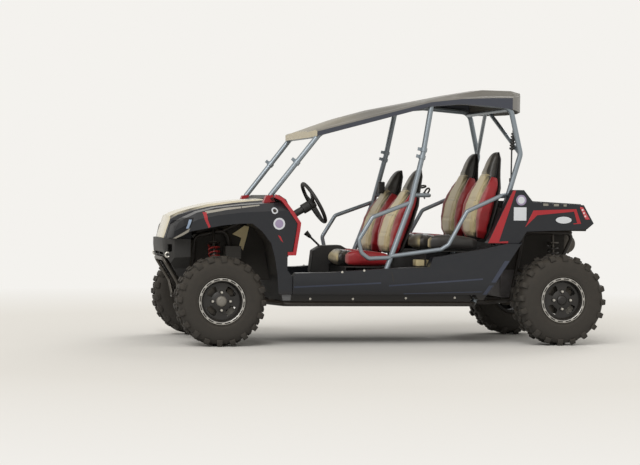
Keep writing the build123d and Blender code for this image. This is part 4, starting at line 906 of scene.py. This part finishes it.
# the seat's hard rear shell, sections as for the back's centre
backShell = [
    (2, 150, -111, -86), (60, 210, -111, -84), (260, 230, -111, -86), (420, 212, -108, -84),
    (505, 138, -104, -84), (560, 104, -100, -82), (650, 90, -84, -70), (700, 56, -66, -58),
]


def loftSections(rings, corner, segments=28):
    # rings are (centre, half across, half deep, axes); neighbours are bridged and the ends are closed
    bm = bmesh.new()
    loops = []
    for centre, across, deep, sideways, forward in rings:
        ringVerts = bmesh.ops.create_circle(bm, segments=segments, radius=1.0)["verts"]
        for vert in ringVerts:
            x, y = vert.co.x, vert.co.y
            x = (abs(x) ** corner) * (1 if x >= 0 else -1)
            y = (abs(y) ** corner) * (1 if y >= 0 else -1)
            vert.co = centre + sideways * (x * across) + forward * (y * deep)
        loops.append(ringVerts)
    for low, high in zip(loops, loops[1:]):
        edges = [
            edge for edge in bm.edges
            if all(vert in low for vert in edge.verts) or all(vert in high for vert in edge.verts)
        ]
        bmesh.ops.bridge_loops(bm, edges=edges)
    for loop in (loops[0], loops[-1]):
        bm.faces.new(loop)
    bmesh.ops.recalc_face_normals(bm, faces=bm.faces)
    return bm


def puff(bm, kind, name, grooves=()):
    # the voxel mesh is inflated as cloth, and no point may move further than the cap
    data = bpy.data.meshes.new(name)
    bm.to_mesh(data)
    bm.free()
    pad = bpy.data.objects.new(name, data)
    bpy.context.scene.collection.objects.link(pad)
    remesh = pad.modifiers.new("voxels", "REMESH")
    remesh.mode = "VOXEL"
    remesh.voxel_size = kind["voxel"] * mm * 1
    applyModifiers(pad)
    start = [vert.co.copy() for vert in pad.data.vertices]
    cloth = pad.modifiers.new("air", "CLOTH")
    cloth.settings.use_pressure = True
    cloth.settings.uniform_pressure_force = kind["pressure"]
    cloth.settings.effector_weights.gravity = 0
    cloth.point_cache.frame_start = 1
    cloth.point_cache.frame_end = kind["frames"]
    for number in range(1, kind["frames"] + 1):
        bpy.context.scene.frame_set(number)
    applyModifiers(pad)
    cap = kind["cap"] * mm
    for vert, rest in zip(pad.data.vertices, start):
        move = vert.co - rest
        if move.length > cap:
            vert.co = rest + move * (cap / move.length)
    bpy.context.scene.frame_set(1)
    smooth = bmesh.new()
    smooth.from_mesh(pad.data)
    for turn in range(3):
        bmesh.ops.smooth_vert(
            smooth, verts=smooth.verts, factor=0.5, use_axis_x=True, use_axis_y=True, use_axis_z=True,
        )
    smooth.to_mesh(pad.data)
    smooth.free()
    mesh = pad.data
    bpy.data.objects.remove(pad)
    for vert in mesh.vertices:
        for axis, place, low, high, deep in grooves:
            across = abs(abs(vert.co.y) / mm - place) if axis == "y" else abs(vert.co.z / mm - place)
            within = low < (vert.co.z if axis == "y" else abs(vert.co.y)) / mm < high
            if within and across < seamReach and vert.co.x > -0.03:  # on the front only
                vert.co.x -= deep * mm * (1 - (across / seamReach) ** 2)
    return mesh


def applyModifiers(piece):
    graph = bpy.context.evaluated_depsgraph_get()
    mesh = bpy.data.meshes.new_from_object(piece.evaluated_get(graph))
    piece.modifiers.clear()
    piece.data = mesh


def padPiece(name, mesh, matrix, finish, headFrom=None, body="chassis"):
    bm = bmesh.new()
    bm.from_mesh(mesh)
    for face in bm.faces:
        if headFrom and face.calc_center_median().z > headFrom * mm:
            face.material_index = 1
    bmesh.ops.transform(bm, verts=bm.verts, matrix=matrix)
    bmesh.ops.recalc_face_normals(bm, faces=bm.faces)
    for face in bm.faces:
        face.smooth = True
    data = bpy.data.meshes.new(name)
    bm.to_mesh(data)
    bm.free()
    piece = bpy.data.objects.new(name, data)
    bpy.context.scene.collection.objects.link(piece)
    for title in [finish] + (["headVinyl"] if headFrom else []):
        data.materials.append(made[title])
    subdivide = piece.modifiers.new("soft", "SUBSURF")
    subdivide.levels = subdivide.render_levels = 1
    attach(piece, body)
    return piece


def backRings(sections, shrink):
    rings = []
    for section in sections:
        if len(section) == 4:
            height, half, rear, front = section
            low, high = -half, half
        else:
            height, low, high, rear, front = section
        middle = Vector(((rear + front) / 2, (low + high) / 2, height)) * mm
        across, deep = (high - low) / 2 - shrink, (front - rear) / 2 - shrink
        rings.append((middle, across * mm, deep * mm, Vector((0, 1, 0)), Vector((1, 0, 0))))
    return rings


def cushionRings(sections, shrink, length):
    rings = []
    for section in sections:
        if len(section) == 4:
            share, half, low, high = section
            inner, outer = -half, half
        else:
            share, inner, outer, low, high = section
        middle = Vector((share * length, (inner + outer) / 2, (low + high) / 2)) * mm
        across, deep = (outer - inner) / 2 - shrink, (high - low) / 2 - shrink
        rings.append((middle, across * mm, deep * mm, Vector((0, 1, 0)), Vector((0, 0, 1))))
    return rings


def buildSeats():
    shrink, corner = padding["shrink"], padding["corner"]
    backMesh = puff(loftSections(backRings(backCentre, shrink), corner), padding, "backCentre", backSeams)
    sideMesh = puff(loftSections(backRings(backBolster, shrink), corner), padding, "backBolster")
    shell = loftSections(backRings(backShell, 0), 0.5, 36)
    shellMesh = bpy.data.meshes.new("seatShell")
    shell.to_mesh(shellMesh)
    shell.free()
    flip = Matrix.Diagonal((1, -1, 1, 1))
    for row, spec in seats.items():
        length = spec["cushionFront"] - spec["cushionRear"]
        rings = cushionRings(cushionCentre, shrink, length)
        centreMesh = puff(loftSections(rings, corner), padding, "cushionCentre")
        rings = cushionRings(cushionBolster, shrink, length)
        edgeMesh = puff(loftSections(rings, corner), padding, "cushionEdge")
        for side, word in ((1, "left"), (-1, "right")):
            foot = Matrix.Translation((spec["foot"][0] * mm, seatSide * side * mm, spec["foot"][1] * mm))
            tilt = foot @ Matrix.Rotation(radians(-spec["lean"]), 4, "Y")
            seat = row + "_" + word
            piece = padPiece("back_" + seat + "_centre", backMesh, tilt, "blackVinyl", headFrom)
            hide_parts("seat_backs_" + row)
            padPiece("back_" + seat + "_outer", sideMesh, tilt, "redVinyl")
            padPiece("back_" + seat + "_inner", sideMesh, tilt @ flip, "redVinyl")
            bm = bmesh.new()
            bm.from_mesh(shellMesh)
            moveAll(bm, tilt)
            makePiece("back_" + seat + "_shell", bm, "chassis", "grainedBlack")
            base = Matrix.Translation((
                spec["cushionRear"] * mm, seatSide * side * mm, spec["cushionTop"] * mm,
            ))
            piece = padPiece("cushion_" + seat + "_centre", centreMesh, base, "blackVinyl")
            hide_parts("seat_cushions_" + row)
            edgeFinish = "redVinyl" if row == "front" else "blackVinyl"
            padPiece("cushion_" + seat + "_outer", edgeMesh, base, edgeFinish)
            padPiece("cushion_" + seat + "_inner", edgeMesh, base @ flip, "redVinyl")


buildSeats()
print("seats padded")


# moulded panels: the solids' own shapes with their flat runs joined, edges rounded and curves shaded smooth

panels = {
    # finish, edge radius and the angle past which an edge is sharp
    "hood": ("paleHood", 5, 24), "front_fenders": ("glossPanel", 4, 24),
    "front_bumper": ("grainedBlack", 4, 24), "rocker_panels": ("glossPanel", 5, 20),
    "rear_quarters": ("glossPanel", 4, 24),
    "roof_panel": ("roofSheet", 2.2, 30), "dashboard": ("grainedBlack", 5, 24),
    "centre_console": ("grainedBlack", 8, 24), "cargo_bed": ("grainedBlack", 3, 24),
    "wheel_liners": ("linerBlack", 1.5, 30), "reservoir_box": ("innerGrey", 5, 24),
    "front_trim": ("redTrim", 1.5, 30), "rear_accents": ("redTrim", 0.6, 30),
    "tail_lamps": ("redLens", 3, 24), "headlamps": ("darkLens", 4, 24), "floor_tub": ("grainedBlack", 2, 30),
    "engine_block": ("engineMetal", 12, 24),
}

lensArea = {
    # lines through (x, z), the normal pointing into the lens
    "rear": ((1475, 955), (77, 28)), "foot": ((1503, 868), (70, 96)),
    "top": 942, "inner": 380, "rimDeep": 16, "stripFrom": 9, "stripTo": 25, "stripLow": 862, "stripHigh": 928,
}


def pastLine(point, line):
    (x, z), (across, up) = line
    return ((point.x / mm - x) * across + (point.z / mm - z) * up) / hypot(across, up)


def markLens(bm, area):
    # cuts the lens, its strip and its rim into the fender's skin and gives them their own finishes
    for key, offsets in (("rear", (0, area["stripFrom"], area["stripTo"])), ("foot", (0, -area["rimDeep"]))):
        (x, z), (across, up) = area[key]
        unit = Vector((across, 0, up)).normalized()
        for offset in offsets:
            bmesh.ops.bisect_plane(
                bm, geom=bm.verts[:] + bm.edges[:] + bm.faces[:],
                plane_co=(Vector((x, 0, z)) + unit * offset) * mm, plane_no=unit,
            )
    for height in (area["top"], area["stripLow"], area["stripHigh"]):
        bmesh.ops.bisect_plane(
            bm, geom=bm.verts[:] + bm.edges[:] + bm.faces[:],
            plane_co=(0, 0, height * mm), plane_no=(0, 0, 1),
        )
    for face in bm.faces:
        centre = face.calc_center_median()
        rear, foot = pastLine(centre, area["rear"]), pastLine(centre, area["foot"])
        if abs(centre.y) < area["inner"] * mm or centre.z > area["top"] * mm or rear < 0:
            continue
        if foot > 0:
            across = area["stripFrom"] < rear < area["stripTo"]
            face.material_index = 2 if across and area["stripLow"] < centre.z / mm < area["stripHigh"] else 1
        elif foot > -area["rimDeep"]:
            face.material_index = 3


def softenNode(name, finish, radius, angle, body="chassis"):
    bm = bmesh.new()
    bm.from_mesh(nodes[name].data)
    bmesh.ops.remove_doubles(bm, verts=bm.verts, dist=0.00002)
    bmesh.ops.dissolve_limit(bm, angle_limit=radians(0.6), verts=bm.verts, edges=bm.edges, delimit={"NORMAL"})
    if name == "front_fenders":
        markLens(bm, lensArea)
        finish = [finish, "darkLens", "reflector", "sillGrey"]
    piece = makePiece(name + "_skin", bm, body, finish, angle)
    if radius:
        bevel = piece.modifiers.new("edges", "BEVEL")
        bevel.width = radius * mm
        bevel.segments = 2
        bevel.limit_method = "ANGLE"
        bevel.angle_limit = radians(angle)
        bevel.harden_normals = True
    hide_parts(name)
    return piece


for name, (finish, radius, angle) in panels.items():
    softenNode(name, finish, radius, angle)
for name in nodeFinish["silverTube"] + ["front_guard"]:  # bent tube keeps its shape and is shaded round
    finish = "silverTube" if name != "front_guard" else "platedSteel"
    softenNode(name, finish, 0, 40)
softenNode("steering_wheel", "grainedBlack", 0, 40, "steering")
print("panels softened:", len(panels))


# blank films, and painted highlights and sky reflections along the pressed creases: each outline is dropped
# sideways on the panel beneath it

films = {
    # name: (centre x and z, half length and half height, corners, finish, panel)
    "plate": ((-1007.5, 996.5), (50, 50), 4, "whiteFilm", "rear_quarters"),
    "badgeRound": ((-1015.5, 1101), (40, 40), 32, "lilacFilm", "rear_quarters"),
    "badgeRoundCore": ((-1015.5, 1101), (27, 27), 32, "whiteFilm", "rear_quarters"),
    "badgeOval": ((-1355.5, 953), (63, 26), 32, "whiteFilm", "rear_quarters"),
    "fenderRound": ((860, 905), (44, 44), 24, "whiteFilm", "front_fenders"),
    "fenderRoundCore": ((860, 905), (31, 31), 24, "lilacFilm", "front_fenders"),
    "fenderSmall": ((894, 1001), (24, 24), 24, "whiteFilm", "front_fenders"),
    "fenderSmallCore": ((894, 1001), (14, 14), 24, "darkSlot", "front_fenders"),
    "padFront": ((-1211, 1069), (20, 9), 4, "sillGrey", "rear_quarters"),
    "padMiddle": ((-1295, 1067), (20, 9), 4, "sillGrey", "rear_quarters"),
    "padRear": ((-1365, 1065), (12, 8), 4, "sillGrey", "rear_quarters"),
}
patches = {
    # corners as (x, z), finish and panel
    "fenderMark": ([(870, 822), (848, 784), (828, 766), (848, 812)], "redTrim", "front_fenders"),
    # a pale painted highlight along the fender's top edge
    "fenderEdge": (
        [(1400, 992), (1404, 972), (1250, 1002), (1000, 1036), (1000, 1044), (1250, 1018)],
        "creasePale", "front_fenders",
    ),
    # strips of painted sky reflection along the rocker's creases
    "creaseFront": ([(746, 444), (86, 476), (86, 464), (746, 432)], "creaseBlue", "rocker_panels"),
    "creaseRear": ([(23, 456), (-705, 508), (-705, 497), (23, 444)], "creaseBlue", "rocker_panels"),
    "creaseLow": ([(-94, 393), (-700, 409), (-700, 403), (-94, 387)], "creaseBlue", "rocker_panels"),
    "creaseGap": ([(5, 552), (-1, 552), (-15, 478), (-9, 478)], "darkSlot", "rocker_panels"),
    # a slanting strip of the same painted sky reflection, where a strut runs
    "creaseSlant": ([(-918, 640), (-745, 385), (-708, 385), (-880, 640)], "creaseBlue", "rocker_panels"),
}
filmLift, coreLift, patchLift = 1.2, 0.8, 0.2  # mm off the panel, a film's core off its film, and a patch
patchThick = 0.6
missedBy = 0.12  # metres; a point that falls deeper has passed the panel's edge


def surfaceOf(name):
    bm = bmesh.new()
    bm.from_mesh(nodes[name].data)
    tree = BVHTree.FromBMesh(bm)
    bm.free()
    return tree


def dropPatch(bm, panel, side, lift):
    tree = surfaceOf(panel)
    reaches = []
    for vert in bm.verts:
        hit = tree.ray_cast(Vector((vert.co.x, side, vert.co.z)), Vector((0, -side, 0)))[0]
        reaches.append(abs(hit.y) if hit else 0)
    usual = max(reaches)
    for vert, reach in zip(bm.verts, reaches):
        vert.co.y = side * (max(reach, usual - missedBy) + lift * mm)
    extrudeBy(bm, bm.faces[:], (0, side * patchThick * mm, 0))
    return bm


def buildFilm(centre, half, corners, panel, side, lift):
    (x, z), (wide, high) = centre, half
    bm = bmesh.new()
    start = Matrix.Rotation(pi / 4 if corners == 4 else 0, 4, "Z")
    radius = 2 ** 0.5 if corners == 4 else 1.0
    bmesh.ops.create_circle(
        bm, cap_ends=True, cap_tris=True, segments=corners, radius=radius, matrix=start,
    )
    bmesh.ops.subdivide_edges(bm, edges=bm.edges[:], cuts=3, use_grid_fill=True)
    for vert in bm.verts:
        vert.co = Vector(((x + vert.co.x * wide) * mm, 0, (z + vert.co.y * high) * mm))
    return dropPatch(bm, panel, side, lift)


def buildPatch(corners, panel, side, lift):
    bm = bmesh.new()
    bm.faces.new([bm.verts.new((x * mm, 0, z * mm)) for x, z in corners])
    bmesh.ops.triangulate(bm, faces=bm.faces[:])
    for turn in range(3):
        bmesh.ops.subdivide_edges(bm, edges=bm.edges[:], cuts=1, use_grid_fill=True)
    return dropPatch(bm, panel, side, lift)


for side, word in ((1, "left"), (-1, "right")):
    for name, (centre, half, corners, finish, panel) in films.items():
        lift = filmLift + (coreLift if name.endswith("Core") else 0)
        bm = buildFilm(centre, half, corners, panel, side, lift)
        makePiece("film_" + name + "_" + word, bm, "chassis", finish)
    for name, (corners, finish, panel) in patches.items():
        bm = buildPatch(corners, panel, side, patchLift)
        makePiece(name + "_" + word, bm, "chassis", finish)
print("films laid")


# inside the wheel wells: a finned radiator and the inner guards beside the frame, one with a patch of painted
# sunlight

def addBox(bm, low, high, bevel=0):
    low, high = Vector(low) * mm, Vector(high) * mm
    middle, size = (low + high) / 2, high - low
    place = Matrix.Translation(middle) @ Matrix.Diagonal((size.x, size.y, size.z, 1))
    cubeVerts = bmesh.ops.create_cube(bm, size=1.0, matrix=place)["verts"]
    if bevel:
        bevelEdges(bm, cubeVerts, bevel)


fins = {"count": 22, "low": 512, "pitch": 11.5}
bm = bmesh.new()
addBox(bm, (1440, -236, 500), (1476, 236, 772), 4)
for index in range(fins["count"]):
    z = fins["low"] + index * fins["pitch"]
    addBox(bm, (1474, -222, z), (1480, 222, z + 3))
makePiece("radiator", bm, "chassis", "castMetal")

guards = {
    # outline as (x, z), inner face, thickness and finish
    "front": (
        [(1436, 470), (1436, 770), (1392, 858), (1180, 880), (930, 885), (848, 850), (840, 470)],
        232, 4, "linerBlack",
    ),
    # a patch of painted sunlight on the front inner guard
    "frontSunlit": (
        [(1133, 818), (1039, 882), (1004, 876), (1019, 806), (1049, 694), (1078, 735), (1062, 790)],
        238, 3, "innerPale",
    ),
    "rear": (
        [(-1000, 560), (-1000, 860), (-1500, 860), (-1496, 640), (-1200, 560)], 262, 4, "linerBlack",
    ),
}
for end, (outline, inner, thick, finish) in guards.items():
    for side, word in ((1, "left"), (-1, "right")):
        bm = bmesh.new()
        verts = [bm.verts.new((x * mm, side * inner * mm, z * mm)) for x, z in outline]
        extrudeBy(bm, [bm.faces.new(verts)], (0, side * thick * mm, 0))
        makePiece("guard_" + end + "_" + word, bm, "chassis", finish)
print("wells closed")


# small fittings: sill bolts, painted highlights on the tail lamps, seat bases in painted sunlight, tow hooks,
# and the belts' box and buckles

fittings = {
    "sillBolts": [(600, 346), (273, 346), (-136, 352), (-518, 356), (381, 550), (213, 562)],  # (x, z)
    "lampGlints": [(-1508, 1032), (-1519, 1008), (-1530, 984)],
    "reel": ((-182, 274, 1142), (-134, 334, 1236)),
    "base": ((-330, 470, 594), (-222, 560, 640)),
    # centre, turn about X and Z, radius and wire of each loop
    "buckles": [
        ((-338, 300, 1196), 20, 10, 24, 7), ((-372, 306, 1162), 60, 40, 26, 7),
        ((-352, 292, 1128), 100, 75, 22, 6),
    ],
    "towHook": ((1640, 362, 662), 90, 0, 17, 6),
}


def addBolt(bm, centre, radius, height, side):
    place = Matrix.Translation(Vector(centre) * mm) @ Matrix.Rotation(-pi / 2 * side, 4, "X")
    bmesh.ops.create_cone(
        bm, cap_ends=True, segments=16, radius1=radius * 1.5 * mm, radius2=radius * 1.4 * mm,
        depth=height * 0.4 * mm, matrix=place,
    )
    bmesh.ops.create_cone(
        bm, cap_ends=True, segments=6, radius1=radius * mm, radius2=radius * 0.92 * mm, depth=height * mm,
        matrix=place @ Matrix.Translation((0, 0, height * 0.45 * mm)),
    )


def addLoop(bm, centre, tip, swing, radius, wire):
    start = Matrix.Translation((radius * mm, 0, 0)) @ Matrix.Rotation(pi / 2, 4, "X")
    part = bmesh.new()
    bmesh.ops.create_circle(part, segments=8, radius=wire * mm, matrix=start)
    bmesh.ops.spin(
        part, geom=part.verts[:] + part.edges[:], cent=(0, 0, 0), axis=(0, 0, 1), angle=2 * pi, steps=28,
        use_merge=True,
    )
    turn = Matrix.Rotation(radians(swing), 4, "Z") @ Matrix.Rotation(radians(tip), 4, "X")
    moveAll(part, Matrix.Translation(Vector(centre) * mm) @ turn)
    joinInto(bm, part)


sillFace = 606  # mm from the middle, for a point that misses its panel


def sideReach(panel, x, z, side):
    hit = surfaceOf(panel).ray_cast(Vector((x * mm, side, z * mm)), Vector((0, -side, 0)))[0]
    return hit.y / mm if hit else side * sillFace


def mirrored(box, side):
    low, high = box
    near, far = sorted((low[1] * side, high[1] * side))
    return (low[0], near, low[2]), (high[0], far, high[2])


for side, word in ((1, "left"), (-1, "right")):
    bm = bmesh.new()
    for x, z in fittings["sillBolts"]:
        addBolt(bm, (x, sideReach("rocker_panels", x, z, side), z), 6, 5, side)
    makePiece("sillBolts_" + word, bm, "chassis", "nutZinc")
    bm = bmesh.new()
    for x, z in fittings["lampGlints"]:
        y = sideReach("tail_lamps", x, z, side)
        addBox(bm, (x - 5, y - 1, z - 8), (x + 9, y + 1, z + 6), 0.5)
    makePiece("lampGlints_" + word, bm, "chassis", "paleLens")
    bm = bmesh.new()
    # the seat base's front is painted pale as sunlight
    addBox(bm, *mirrored(fittings["base"], side), 4)
    makePiece("seatBase_" + word, bm, "chassis", "innerPale")
    (x, y, z), tip, swing, radius, wire = fittings["towHook"]
    bm = bmesh.new()
    addLoop(bm, (x, y * side, z), tip, swing, radius, wire)
    makePiece("towHook_" + word, bm, "chassis", "nutZinc")

# a box stands behind the right seat and the belt's buckles hang behind the left one
bm = bmesh.new()
addBox(bm, *mirrored(fittings["reel"], -1), 8)
makePiece("beltReel", bm, "chassis", "grainedBlack")
bm = bmesh.new()
for centre, tip, swing, radius, wire in fittings["buckles"]:
    addLoop(bm, centre, tip, swing, radius, wire)
makePiece("buckles", bm, "chassis", "blackWeb")
print("fittings placed")
